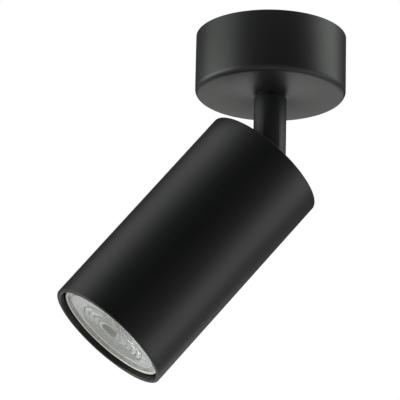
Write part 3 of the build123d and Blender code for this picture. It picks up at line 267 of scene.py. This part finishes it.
def turned(outline, rounds=(), closed=True):
    """Turn an outline of (radius, height) corners about Z, and round some of its corners.

    rounds holds (corner's index, radius of its rounding, segments)."""
    mesh = bmesh.new()
    rim = [mesh.verts.new((radius, 0, height)) for radius, height in outline]
    following = rim[1:] + rim[:1] if closed else rim[1:]
    edges = [mesh.edges.new(pair) for pair in zip(rim, following)]
    bmesh.ops.spin(mesh, geom=rim + edges, cent=(0, 0, 0), axis=(0, 0, 1), angle=FULL_TURN,
                   steps=bpy.context.scene.spotlight.turn_steps, use_merge=True)
    bmesh.ops.remove_doubles(mesh, verts=mesh.verts, dist=SAME_POINT)
    for corner, radius, segments in rounds:
        place = Vector(outline[corner])
        ring = [edge for edge in mesh.edges if all(
            (Vector((vertex.co.xy.length, vertex.co.z)) - place).length < SAME_POINT
            for vertex in edge.verts)]
        bmesh.ops.bevel(mesh, geom=ring, offset=radius, offset_type="OFFSET", segments=segments,
                        profile=0.5, affect="EDGES", material=-1)
    bmesh.ops.recalc_face_normals(mesh, faces=mesh.faces)
    return mesh


def bar(radius, low, high, place=ceiling, sides=64):
    """A round bar from low to high along a place's axis."""
    mesh = bmesh.new()
    bmesh.ops.create_cone(mesh, cap_ends=True, segments=sides, radius1=radius, radius2=radius,
                          depth=high - low)
    bmesh.ops.translate(mesh, verts=mesh.verts, vec=(0, 0, (low + high) / 2))
    bmesh.ops.transform(mesh, matrix=place, verts=mesh.verts)
    return mesh


def block(low, high):
    """A box between two corners."""
    mesh = bmesh.new()
    bmesh.ops.create_cube(mesh, size=1)
    size = Vector(high) - Vector(low)
    bmesh.ops.scale(mesh, vec=size, verts=mesh.verts)
    bmesh.ops.translate(mesh, vec=(Vector(low) + Vector(high)) / 2, verts=mesh.verts)
    return mesh


def as_object(mesh, name):
    """Make an object of a bmesh, and free it."""
    data = bpy.data.meshes.new(name)
    mesh.to_mesh(data)
    mesh.free()
    made = bpy.data.objects.new(name, data)
    bpy.context.scene.collection.objects.link(made)
    return made


def cut(mesh, cutters):
    """Cut solids out of a solid, and return what is left. All are bmeshes, and are freed."""
    stock = as_object(mesh, "stock")
    tools = [as_object(cutter, "tool") for cutter in cutters]
    for tool in tools:
        modifier = stock.modifiers.new("cut", "BOOLEAN")
        modifier.operation = "DIFFERENCE"
        modifier.solver = "EXACT"
        modifier.object = tool
    bpy.context.view_layer.update()
    result = bmesh.new()
    result.from_object(stock, bpy.context.evaluated_depsgraph_get())
    bmesh.ops.remove_doubles(result, verts=result.verts, dist=SAME_POINT)
    for used in [stock] + tools:
        bpy.data.meshes.remove(used.data)
    return result


def break_edges(mesh, width):
    """Break a machined solid's sharp edges."""
    sharp = [edge for edge in mesh.edges
             if len(edge.link_faces) == 2 and edge.calc_face_angle(0) > BREAK_ANGLE]
    bmesh.ops.bevel(mesh, geom=sharp, offset=width, offset_type="OFFSET", segments=2, profile=0.5,
                    affect="EDGES", clamp_overlap=True, material=-1)
    return mesh


def settle(mesh, name, body, material, stands_for, place=ceiling):
    """Put a finished bmesh in its place as a piece that rides on a body, for some CAD nodes."""
    bmesh.ops.transform(mesh, matrix=place, verts=mesh.verts)
    piece = as_object(mesh, name)
    piece.data.shade_smooth()
    piece.data.set_sharp_from_angle(angle=SHARP_ANGLE)
    piece.data.materials.append(material)
    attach(piece, body)
    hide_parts(*stands_for)


# ------------------------------------------------------------------ materials


def add_node(tree, kind, settings=None, inputs=None):
    """Add a node with its settings, and give its inputs values or link them to sockets."""
    node = tree.nodes.new(kind)
    for name, value in (settings or {}).items():
        setattr(node, name, value)
    for name, value in (inputs or {}).items():
        if isinstance(value, bpy.types.NodeSocket):
            tree.links.new(value, node.inputs[name])
        else:
            node.inputs[name].default_value = value
    return node


def start_material(name, colour, values=None):
    """Start a material, and return it with its tree, its shader and its coordinates.

    Its colour shows only where no pattern of colours is linked over it."""
    material = bpy.data.materials.new(name)
    material.use_nodes = True
    tree = material.node_tree
    shader = tree.nodes["Principled BSDF"]
    shader.inputs["Base Color"].default_value = (*colour, 1)
    for socket, value in (values or {}).items():
        shader.inputs[socket].default_value = value
    coordinates = add_node(tree, "ShaderNodeTexCoord").outputs["Object"]
    return material, tree, shader, coordinates


def mottle(tree, shader, coordinates, grain_mm, socket, low, high, detail=3.0):
    """Drive one of the shader's sockets between two values by a cloudy pattern of this grain."""
    noise = add_node(tree, "ShaderNodeTexNoise", {},
                     {"Vector": coordinates, "Scale": 1 / (grain_mm * MM), "Detail": detail})
    spread = add_node(tree, "ShaderNodeMapRange", {},
                      {"Value": noise.outputs["Fac"], "From Min": 0.3, "From Max": 0.7,
                       "To Min": low, "To Max": high})
    tree.links.new(spread.outputs["Result"], shader.inputs[socket])


def tint(tree, shader, coordinates, grain_mm, first, second, detail=2.0):
    """Vary the base colour between two colours by a cloudy pattern of this grain."""
    noise = add_node(tree, "ShaderNodeTexNoise", {},
                     {"Vector": coordinates, "Scale": 1 / (grain_mm * MM), "Detail": detail})
    ramp = add_node(tree, "ShaderNodeValToRGB", {}, {"Fac": noise.outputs["Fac"]})
    ramp.color_ramp.elements[0].position = 0.35
    ramp.color_ramp.elements[0].color = (*first, 1)
    ramp.color_ramp.elements[1].position = 0.65
    ramp.color_ramp.elements[1].color = (*second, 1)
    tree.links.new(ramp.outputs["Color"], shader.inputs["Base Color"])


def rough_up(tree, shader, coordinates, layers):
    """Add bumps of (grain in mm, height in mm) over each other."""
    normal = None
    for grain_mm, height_mm in layers:
        noise = add_node(tree, "ShaderNodeTexNoise", {},
                         {"Vector": coordinates, "Scale": 1 / (grain_mm * MM), "Detail": 2.0})
        inputs = {"Height": noise.outputs["Fac"], "Distance": height_mm * MM, "Strength": 1.0}
        if normal is not None:
            inputs["Normal"] = normal
        normal = add_node(tree, "ShaderNodeBump", {}, inputs).outputs["Normal"]
    tree.links.new(normal, shader.inputs["Normal"])


def powder_coat(name, colour, roughness):
    """Polyester powder coat, baked on: satin black, soft highlights, a fine orange peel."""
    material, tree, shader, coordinates = start_material(
        name, colour, {"IOR": 1.5, "Roughness": roughness})
    mottle(tree, shader, coordinates, 0.9, "Roughness", roughness - 0.02, roughness + 0.04)
    # Real grains are about 0.1 mm. They are drawn at 0.5 mm, where the render can show them.
    rough_up(tree, shader, coordinates, [(2.2, 0.012), (0.5, 0.004)])
    return material


def zinc_plate():
    """Steel, zinc plated and clear passivated: a pale grey metal with a cloudy bluish bloom."""
    material, tree, shader, coordinates = start_material(
        "zinc_plated_steel", linear("#a8acb0"), {"Metallic": 1.0, "Roughness": 0.45})
    tint(tree, shader, coordinates, 5.0, linear("#a3a8ae"), linear("#b0b0ad"), detail=4.0)
    mottle(tree, shader, coordinates, 1.2, "Roughness", 0.40, 0.50)
    rough_up(tree, shader, coordinates, [(0.6, 0.002)])
    return material


def black_oxide():
    """Blackened and oiled screw steel: nearly black, with a dull metal gleam on its edges."""
    material, tree, shader, coordinates = start_material(
        "black_oxide_steel", linear("#4a4a4c"), {"Metallic": 1.0, "Roughness": 0.4})
    tint(tree, shader, coordinates, 0.8, linear("#3c3c3f"), linear("#58575a"))
    mottle(tree, shader, coordinates, 0.5, "Roughness", 0.34, 0.48)
    return material


def brass():
    """Turned brass: warm yellow, with a slightly uneven gloss."""
    material, tree, shader, coordinates = start_material(
        "turned_brass", linear("#d2aa5c"), {"Metallic": 1.0, "Roughness": 0.28})
    tint(tree, shader, coordinates, 2.0, linear("#c99f4f"), linear("#dab669"))
    mottle(tree, shader, coordinates, 0.3, "Roughness", 0.22, 0.36)
    return material


def nickel_plate():
    """Nickel plate over brass: a bright, slightly warm silver."""
    material, tree, shader, coordinates = start_material(
        "nickel_plated_brass", linear("#d2cdbf"), {"Metallic": 1.0, "Roughness": 0.2})
    mottle(tree, shader, coordinates, 0.5, "Roughness", 0.16, 0.27)
    return material


def moulded(name, colour, roughness, shade, ior=1.5, soft=0.0):
    """A moulded plastic or rubber: an even colour with a fine eroded mould texture."""
    material, tree, shader, coordinates = start_material(
        name, colour, {"IOR": ior, "Roughness": roughness, "Subsurface Weight": soft,
                       "Subsurface Scale": 0.5 * MM})
    tint(tree, shader, coordinates, 4.0, colour, shade)
    mottle(tree, shader, coordinates, 0.7, "Roughness", roughness - 0.05, roughness + 0.06)
    rough_up(tree, shader, coordinates, [(0.35, 0.003)])
    return material


def steatite():
    """Fired steatite, unglazed: chalky ivory with fine darker specks and a dry surface."""
    material, tree, shader, coordinates = start_material(
        "unglazed_steatite", linear("#e9e3d2"), {"IOR": 1.6, "Roughness": 0.62})
    tint(tree, shader, coordinates, 0.5, linear("#ddd5c0"), linear("#efeadb"), detail=6.0)
    rough_up(tree, shader, coordinates, [(0.3, 0.006)])
    return material


def acrylic():
    """Moulded acrylic, slightly milky: glassy, with faint flow marks on its face."""
    colour = bpy.context.scene.spotlight.lens_colour
    # Rougher and less clear than polished acrylic is, to look as pale as in the photograph.
    material, tree, shader, coordinates = start_material(
        "clear_acrylic", colour, {"IOR": 1.49, "Roughness": 0.09, "Transmission Weight": 0.78})
    mottle(tree, shader, coordinates, 3.0, "Roughness", 0.07, 0.11)
    rough_up(tree, shader, coordinates, [(6.0, 0.012)])
    return material


def solder_mask():
    """White solder mask on an aluminium board: bright and slightly glossy."""
    material, tree, shader, coordinates = start_material(
        "white_solder_mask", linear("#e8e8e4"), {"IOR": 1.55, "Roughness": 0.35})
    tint(tree, shader, coordinates, 2.5, linear("#e0e0da"), linear("#eeeeea"))
    rough_up(tree, shader, coordinates, [(0.4, 0.004)])
    return material


def glass_laminate():
    """Green glass laminate: the mask shows the glass cloth's weave as a fine check."""
    material, tree, shader, coordinates = start_material(
        "glass_laminate", linear("#1f6b3a"), {"IOR": 1.55, "Roughness": 0.35})
    check = add_node(tree, "ShaderNodeTexChecker", {},
                     {"Vector": coordinates, "Scale": 1 / (0.5 * MM),
                      "Color1": (*linear("#1c6336"), 1), "Color2": (*linear("#247443"), 1)})
    tree.links.new(check.outputs["Color"], shader.inputs["Base Color"])
    return material


def phosphor():
    """Phosphor in clear silicone over the diodes: matt lemon yellow."""
    material, tree, shader, coordinates = start_material(
        "phosphor_silicone", linear("#f0d060"), {"IOR": 1.41, "Roughness": 0.4})
    tint(tree, shader, coordinates, 0.8, linear("#ecc850"), linear("#f4da78"))
    return material


def silicone_sleeve(name, colour, shade):
    """Silicone rubber insulation: a soft low gloss in the wire's own colour."""
    material, tree, shader, coordinates = start_material(
        name, linear(colour), {"IOR": 1.41, "Roughness": 0.45})
    tint(tree, shader, coordinates, 1.5, linear(colour), linear(shade))
    rough_up(tree, shader, coordinates, [(0.4, 0.003)])
    return material


def earth_sleeve():
    """Green silicone insulation with a yellow stripe that winds round the wire."""
    material, tree, shader, coordinates = start_material(
        "earth_wire_silicone", linear("#3f8f2e"), {"IOR": 1.41, "Roughness": 0.45})
    stripes = add_node(tree, "ShaderNodeTexWave", {"bands_direction": "DIAGONAL"},
                       {"Vector": coordinates, "Scale": 1 / (10 * MM)})
    ramp = add_node(tree, "ShaderNodeValToRGB", {}, {"Fac": stripes.outputs["Fac"]})
    ramp.color_ramp.interpolation = "CONSTANT"
    ramp.color_ramp.elements[0].color = (*linear("#3f8f2e"), 1)
    ramp.color_ramp.elements[1].position = 0.6
    ramp.color_ramp.elements[1].color = (*linear("#e6cf2a"), 1)
    tree.links.new(ramp.outputs["Color"], shader.inputs["Base Color"])
    return material


def glass_fibre_sleeve():
    """Braided glass fibre sleeve: off-white, with a fine crossed weave."""
    material, tree, shader, coordinates = start_material(
        "glass_fibre_braid", linear("#dcd8ca"), {"IOR": 1.5, "Roughness": 0.7})
    # The braid's threads are 0.2 mm apart. They are drawn at 0.4 mm.
    weave = add_node(tree, "ShaderNodeTexChecker", {},
                     {"Vector": coordinates, "Scale": 1 / (0.4 * MM),
                      "Color1": (*linear("#e2dfd3"), 1), "Color2": (*linear("#c9c4b4"), 1)})
    tree.links.new(weave.outputs["Color"], shader.inputs["Base Color"])
    return material


def all_materials():
    """The record's material slots, each with its finish."""
    settings = bpy.context.scene.spotlight
    return {
        "black_coated_steel": powder_coat("powder_coated_steel", settings.cup_colour,
                                          COAT_ROUGHNESS),
        "black_coated_aluminium": powder_coat("powder_coated_aluminium", settings.coat_colour,
                                              COAT_ROUGHNESS),
        "zinc_plated_steel": zinc_plate(),
        "spring_steel": black_oxide(),
        "brass": brass(),
        "nickel_brass": nickel_plate(),
        "black_rubber": moulded("moulded_rubber", linear("#1b1b1b"), 0.7, linear("#232323"),
                                ior=1.52),
        "white_nylon": moulded("natural_nylon", linear("#e6e2d4"), 0.45, linear("#dcd7c6"),
                               ior=1.53, soft=0.2),
        "black_nylon": moulded("black_nylon", linear("#161616"), 0.5, linear("#1e1e1e"),
                               ior=1.53),
        "white_ceramic": steatite(),
        "lamp_plastic": moulded("lamp_thermoplastic", settings.lamp_colour, 0.32,
                                linear("#e8e4d8"), ior=1.55),
        "clear_lens": acrylic(),
        "board_white": solder_mask(),
        "board_green": glass_laminate(),
        "phosphor": phosphor(),
        "brown_wire": silicone_sleeve("live_wire_silicone", "#5c3820", "#66402a"),
        "blue_wire": silicone_sleeve("neutral_wire_silicone", "#2a5fae", "#3268b8"),
        "earth_wire": earth_sleeve(),
        "white_sleeve": glass_fibre_sleeve(),
    }


finishes = {}


# ------------------------------------------------------------------ pieces


def lap_cutters(radius, side, seat, seat_radius):
    """What is cut from a bar to leave one half of the lap, with its lug's round tip down Z.

    side says on which side of the tilt axis the lug stands, and seat where its fastener sits."""
    far = 2 * radius

    def across(hole, start, end):
        return bar(hole, *sorted((side * start, side * end)), along_tilt, sides=96)

    near, away = sorted((side * LAP_FACE, -side * far))
    below = block((-far, -far, -far), (far, far, 0))
    return [block((-far, near, -far), (far, away, LAP_SHOULDER)),
            cut(below, [across(radius, -2 * far, 2 * far)]),
            across(LAP_CAVITY, -LAP_FACE, LAP_CAVITY_END),
            across(PIVOT_HOLE, 0, far),
            across(seat_radius, seat, far)]


class SPOTLIGHT_OT_finishes(bpy.types.Operator):
    """Give every CAD node its finish"""

    bl_idname = "spotlight.finishes"
    bl_label = "Finishes"

    def execute(self, context):
        finishes.update(all_materials())
        for part in frame["record"]["subparts"]:
            node = nodes[part["node"]]
            for holder in node.material_slots:
                holder.material = finishes[part["material_slot"]]
        return {"FINISHED"}


class SPOTLIGHT_OT_canopy(bpy.types.Operator):
    """Add the drawn steel cup, with its rounded edge and the two holes for its grub screws"""

    bl_idname = "spotlight.canopy"
    bl_label = "Canopy"

    def execute(self, context):
        settings = context.scene.spotlight
        low, high, radius = reach("canopy_cup", ceiling)
        hole = least_radius("canopy_cup", ceiling)
        inner = radius - CUP_WALL
        floor = low + CUP_WALL
        outline = [(hole, low), (radius, low), (radius, high), (inner, high), (inner, floor),
                   (hole, floor)]
        small = settings.small_edge
        edge = settings.canopy_edge
        cup = turned(outline, [(1, edge, CUP_OUTER_SEGMENTS),
                               (4, edge - CUP_WALL, CUP_INNER_SEGMENTS),
                               (2, small, 3), (3, small, 3), (0, small, 2)])
        screw_low, screw_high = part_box("canopy_screws")
        screw_line = (screw_low.z + screw_high.z) / 2
        screw_hole = (screw_high.z - screw_low.z) / 2 + GRUB_SCREW_GAP
        across = Matrix.Translation((0, 0, screw_line)) @ Matrix.Rotation(math.pi / 2, 4, "Y")
        past = 1.2 * radius
        cup = cut(cup, [bar(screw_hole, -past, past, across)])
        settle(cup, "canopy_shell", "canopy", finishes["black_coated_steel"],
               ["canopy_cup"])
        return {"FINISHED"}


class SPOTLIGHT_OT_stem(bpy.types.Operator):
    """Add the turned stem and the head's knuckle, whose lugs lap on the tilt axis"""

    bl_idname = "spotlight.stem"
    bl_label = "Stem and knuckle"

    def execute(self, context):
        settings = context.scene.spotlight
        # The photograph shows these duller and paler than the tube. The cause isn't known.
        coat = powder_coat("powder_coated_stem", settings.stem_colour, STEM_COAT_ROUGHNESS)
        low, high, radius = reach("stem", hanging)
        bore_low, _, bore = reach("pan_spindle", hanging)
        stem = turned([(0, low), (radius, low), (radius, high), (bore, high), (bore, bore_low),
                       (0, bore_low)], [(2, settings.stem_chamfer, 1)], closed=False)
        stem = cut(stem, lap_cutters(radius, -1, SCREW_SEAT, SCREW_SEAT_RADIUS))
        settle(break_edges(stem, settings.small_edge), "turned_stem", "stem",
               coat, ["stem"], hanging)

        low, high, _ = reach("head_knuckle", head)
        plate_back, plate_front, _ = reach("rear_plate", head)
        knuckle = turned([(0, low), (radius, low), (radius, plate_back),
                          (SPIGOT_RADIUS, plate_back), (SPIGOT_RADIUS, high),
                          (SPIGOT_BORE, high), (SPIGOT_BORE, plate_front),
                          (0, plate_front)], closed=False)
        knuckle = cut(knuckle, lap_cutters(radius, 1, NUT_SEAT, NUT_SEAT_RADIUS))
        settle(break_edges(knuckle, settings.small_edge), "turned_knuckle", "head",
               coat, ["head_knuckle"], head)
        return {"FINISHED"}


class SPOTLIGHT_OT_head(bpy.types.Operator):
    """Add the head's turned tube with its ledge and softly broken rims"""

    bl_idname = "spotlight.head"
    bl_label = "Head"

    def execute(self, context):
        settings = context.scene.spotlight
        back, front, radius = reach("head_tube", head)
        inner = radius - TUBE_WALL
        plate_back, plate_front, _ = reach("rear_plate", head)
        ledge_radius = least_radius("head_tube", head)
        ledge_front = plate_front + TUBE_LEDGE
        outline = [(inner, back), (radius, back), (radius, front), (inner, front),
                   (inner, ledge_front), (ledge_radius, ledge_front), (ledge_radius, plate_front),
                   (inner, plate_front)]
        rounds = [(corner, settings.rim_edge, RIM_SEGMENTS) for corner in (0, 1, 2, 3)]
        tube = turned(outline, rounds)
        settle(tube, "head_shell", "head",
               finishes["black_coated_aluminium"], ["head_tube"], head)
        return {"FINISHED"}


class SPOTLIGHT_OT_lamp(bpy.types.Operator):
    """Add the twist-in lamp's coned body and its moulded lens"""

    bl_idname = "spotlight.lamp"
    bl_label = "Lamp"

    def execute(self, context):
        rear, face, radius = reach("lamp_housing", head)
        optic_root, ring_top, optic_radius = reach("lamp_lens", head)
        web_front = reach("led_board", head)[0]
        front = ring_top - LENS_RING_HEIGHT
        back = front - LENS_FLANGE
        self.add_body(rear, face, radius, back, web_front)
        self.add_lens(front, back, optic_root, optic_radius)
        return {"FINISHED"}

    @staticmethod
    def add_body(rear, face, radius, seat, web_front):
        """The coned body: a rim, a seat for the lens and a web that carries the board."""
        neck = face - LAMP_NECK_START
        shrink = (radius - LAMP_NECK_RADIUS) / (LAMP_NECK_START - LAMP_RIM_HEIGHT)

        def inside(height):
            return LAMP_NECK_RADIUS - LAMP_WALL + shrink * (height - neck)

        seat_radius = radius - LAMP_WALL
        ledge = seat_radius - LENS_LEDGE
        ledge_low = face - LAMP_RIM_HEIGHT - LENS_LEDGE / shrink
        web_back = web_front - LAMP_WEB
        outline = [(0, web_front), (inside(web_front), web_front), (ledge, ledge_low),
                   (ledge, seat), (seat_radius, seat), (seat_radius, face), (radius, face),
                   (radius, face - LAMP_RIM_HEIGHT), (LAMP_NECK_RADIUS, neck),
                   (LAMP_NECK_RADIUS, rear), (LAMP_NECK_RADIUS - LAMP_WALL, rear),
                   (LAMP_NECK_RADIUS - LAMP_WALL, neck), (inside(web_back), web_back),
                   (0, web_back)]
        body = turned(outline, [(6, *BODY_FACE_OUTSIDE), (5, *BODY_FACE_INSIDE),
                                (7, *BODY_SHOULDER)], closed=False)
        settle(body, "lamp_body", "lamp", finishes["lamp_plastic"],
               ["lamp_housing"], head)

    @staticmethod
    def add_lens(front, back, root, radius):
        """The lens: a flange with a raised ring, a grooved face over a coned bowl, and a well."""
        outline = [(0, front - WELL_DEPTH), (WELL_FLOOR, front - WELL_DEPTH), (WELL_RADIUS, front)]
        for groove in range(1, GROOVES + 1):
            middle = WELL_RADIUS + GROOVE_PITCH * groove
            for step in range(GROOVE_STEPS + 1):
                across = step / GROOVE_STEPS - 0.5
                outline.append((middle + GROOVE_WIDTH * across,
                                front - GROOVE_DEPTH * math.cos(math.pi * across) ** 2))
        ring_in, ring_out = LENS_RING - LENS_RING_WIDTH / 2, LENS_RING + LENS_RING_WIDTH / 2
        ring_top = front + LENS_RING_HEIGHT
        outline += [(ring_in, front), (ring_in, ring_top), (ring_out, ring_top), (ring_out, front),
                    (radius, front), (radius, back), (BOWL_RADIUS, back), (BOWL_ROOT, root),
                    (POCKET_RADIUS, root), (POCKET_RADIUS, root + POCKET_DEPTH),
                    (0, root + POCKET_DEPTH)]
        ring = outline.index((ring_in, ring_top))
        lens = turned(outline, [(ring, *LENS_RING_EDGE), (ring + 1, *LENS_RING_EDGE),
                                (2, *LENS_WELL_EDGE), (1, *LENS_WELL_EDGE)], closed=False)
        settle(lens, "lens_optic", "lamp", finishes["clear_lens"],
               ["lamp_lens"], head)


class SPOTLIGHT_OT_stage(bpy.types.Operator):
    """Set up the floor, the soft lights, the white surroundings and the camera"""

    bl_idname = "spotlight.stage"
    bl_label = "Studio"

    def execute(self, context):
        settings = context.scene.spotlight
        add_floor()
        add_camera(settings)
        add_lights(settings)
        add_surroundings(context.scene)
        context.scene.view_settings.view_transform = "Standard"
        return {"FINISHED"}


def sight_axes(settings):
    """The camera's right, up and back directions."""
    azimuth, elevation = settings.camera_azimuth, settings.camera_elevation
    back = Vector((math.sin(azimuth) * math.cos(elevation),
                   -math.cos(azimuth) * math.cos(elevation), math.sin(elevation)))
    level = Vector((math.cos(azimuth), math.sin(azimuth), 0))
    upright = back.cross(level)
    turn = settings.camera_roll
    right = math.cos(turn) * level + math.sin(turn) * upright
    up = math.cos(turn) * upright - math.sin(turn) * level
    return right, up, back


def add_camera(settings):
    """The camera stands below the ceiling and looks up at the canopy's underside."""
    right, up, back = sight_axes(settings)
    data = bpy.data.cameras.new("camera")
    data.sensor_width = SENSOR_WIDTH_MM
    data.lens = settings.camera_lens
    data.clip_start = NEAREST_SEEN
    camera = bpy.data.objects.new("camera", data)
    bpy.context.scene.collection.objects.link(camera)
    place = settings.camera_distance * back - settings.aim_left * right - settings.aim_down * up
    facing = Matrix((right, up, back)).transposed().to_4x4()
    camera.matrix_world = Matrix.Translation(place) @ facing
    bpy.context.scene.camera = camera


def add_softbox(settings, name, around, above, width, height, level):
    """A soft light that faces the object. SOFTBOXES says what its angles and level mean."""
    right, up, back = sight_axes(settings)
    low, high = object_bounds()
    middle = (Vector(low) + Vector(high)) / 2
    around, above = math.radians(around), math.radians(above)
    direction = (math.cos(above) * (math.sin(around) * right + math.cos(around) * back)
                 + math.sin(above) * up)
    data = bpy.data.lights.new(name, "AREA")
    data.shape = "RECTANGLE"
    data.size = width
    data.size_y = height
    data.energy = WATTS_AT_WHITE * level * width * height
    data.color = linear(SOFTBOX_COLOUR)
    light = bpy.data.objects.new(name, data)
    light.visible_camera = False
    # Seen through the lens's rough glassy body, a soft box would break into bright specks.
    light.visible_transmission = False
    bpy.context.scene.collection.objects.link(light)
    light.matrix_world = (Matrix.Translation(middle + settings.light_distance * direction)
                          @ direction.to_track_quat("Z", "Y").to_matrix().to_4x4())


def add_lights(settings):
    """Soft boxes at both sides, overhead and low behind, which run down the coat as soft bands."""
    for softbox in SOFTBOXES:
        add_softbox(settings, *softbox)


def add_floor():
    """A pale floor, well below the ceiling and the camera."""
    mesh = bmesh.new()
    bmesh.ops.create_grid(mesh, x_segments=1, y_segments=1, size=FLOOR_HALF_WIDTH)
    bmesh.ops.translate(mesh, verts=mesh.verts, vec=(0, 0, FLOOR_HEIGHT))
    floor = as_object(mesh, "floor")
    material, tree, shader, coordinates = start_material(
        "matt_white_paint", linear("#f2f2f0"), {"Roughness": 0.9})
    mottle(tree, shader, coordinates, 40.0, "Roughness", 0.85, 0.95)
    # The camera sees the floor pale, and the object gets no more light from it.
    rays = add_node(tree, "ShaderNodeLightPath")
    shown = add_node(tree, "ShaderNodeMath", {"operation": "MULTIPLY"},
                     {0: rays.outputs["Is Camera Ray"], 1: FLOOR_SHOWN})
    shader.inputs["Emission Color"].default_value = (1, 1, 1, 1)
    tree.links.new(shown.outputs["Value"], shader.inputs["Emission Strength"])
    floor.data.materials.append(material)
    floor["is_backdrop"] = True


def add_surroundings(scene):
    """White to the camera and through glass, dim in reflections but overhead, dim as light."""
    world = bpy.data.worlds.new("studio")
    world.use_nodes = True
    scene.world = world
    tree = world.node_tree
    background = tree.nodes["Background"]
    rays = add_node(tree, "ShaderNodeLightPath")
    shown = add_node(tree, "ShaderNodeMath", {"operation": "MAXIMUM"},
                     {0: rays.outputs["Is Camera Ray"], 1: rays.outputs["Is Transmission Ray"]})
    direction = add_node(tree, "ShaderNodeSeparateXYZ", {},
                         {0: add_node(tree, "ShaderNodeTexCoord").outputs["Generated"]})
    overhead = add_node(tree, "ShaderNodeMapRange", {},
                        {"Value": direction.outputs["Z"], "From Min": OVERHEAD_STARTS,
                         "From Max": OVERHEAD_FULL, "To Min": MIRRORED_AROUND,
                         "To Max": MIRRORED_OVERHEAD})
    mirrored = add_node(tree, "ShaderNodeMath", {"operation": "MULTIPLY"},
                        {0: rays.outputs["Is Glossy Ray"], 1: overhead.outputs["Result"]})
    seen = add_node(tree, "ShaderNodeMath", {"operation": "MAXIMUM"},
                    {0: shown.outputs["Value"], 1: mirrored.outputs["Value"]})
    other = add_node(tree, "ShaderNodeMath", {"operation": "MULTIPLY"},
                     {0: rays.outputs["Is Diffuse Ray"], 1: DIFFUSE_LEVEL})
    level = add_node(tree, "ShaderNodeMath", {"operation": "MAXIMUM"},
                     {0: seen.outputs["Value"], 1: other.outputs["Value"]})
    background.inputs["Color"].default_value = (1, 1, 1, 1)
    tree.links.new(level.outputs["Value"], background.inputs["Strength"])


class SPOTLIGHT_PT_panel(bpy.types.Panel):
    """Sidebar panel with every step of the spotlight"""

    bl_label = "Ceiling Spotlight"
    bl_space_type = "VIEW_3D"
    bl_region_type = "UI"
    bl_category = "Spotlight"

    def draw(self, context):
        for step in steps:
            self.layout.operator(step.bl_idname)
        for name in SpotlightSettings.__annotations__:
            self.layout.prop(context.scene.spotlight, name)


steps = (SPOTLIGHT_OT_finishes, SPOTLIGHT_OT_canopy, SPOTLIGHT_OT_stem, SPOTLIGHT_OT_head,
         SPOTLIGHT_OT_lamp, SPOTLIGHT_OT_stage)
classes = (SpotlightSettings, *steps, SPOTLIGHT_PT_panel)


def register():
    """Add the classes and the scene's settings."""
    for cls in classes:
        bpy.utils.register_class(cls)
    bpy.types.Scene.spotlight = bpy.props.PointerProperty(type=SpotlightSettings)


def unregister():
    """Remove them again."""
    del bpy.types.Scene.spotlight
    for cls in reversed(classes):
        bpy.utils.unregister_class(cls)


def main():
    """Dress the spotlight and set up the studio."""
    register()
    bpy.ops.spotlight.finishes()
    bpy.ops.spotlight.canopy()
    bpy.ops.spotlight.stem()
    bpy.ops.spotlight.head()
    bpy.ops.spotlight.lamp()
    bpy.ops.spotlight.stage()


if __name__ == "__main__":
    main()
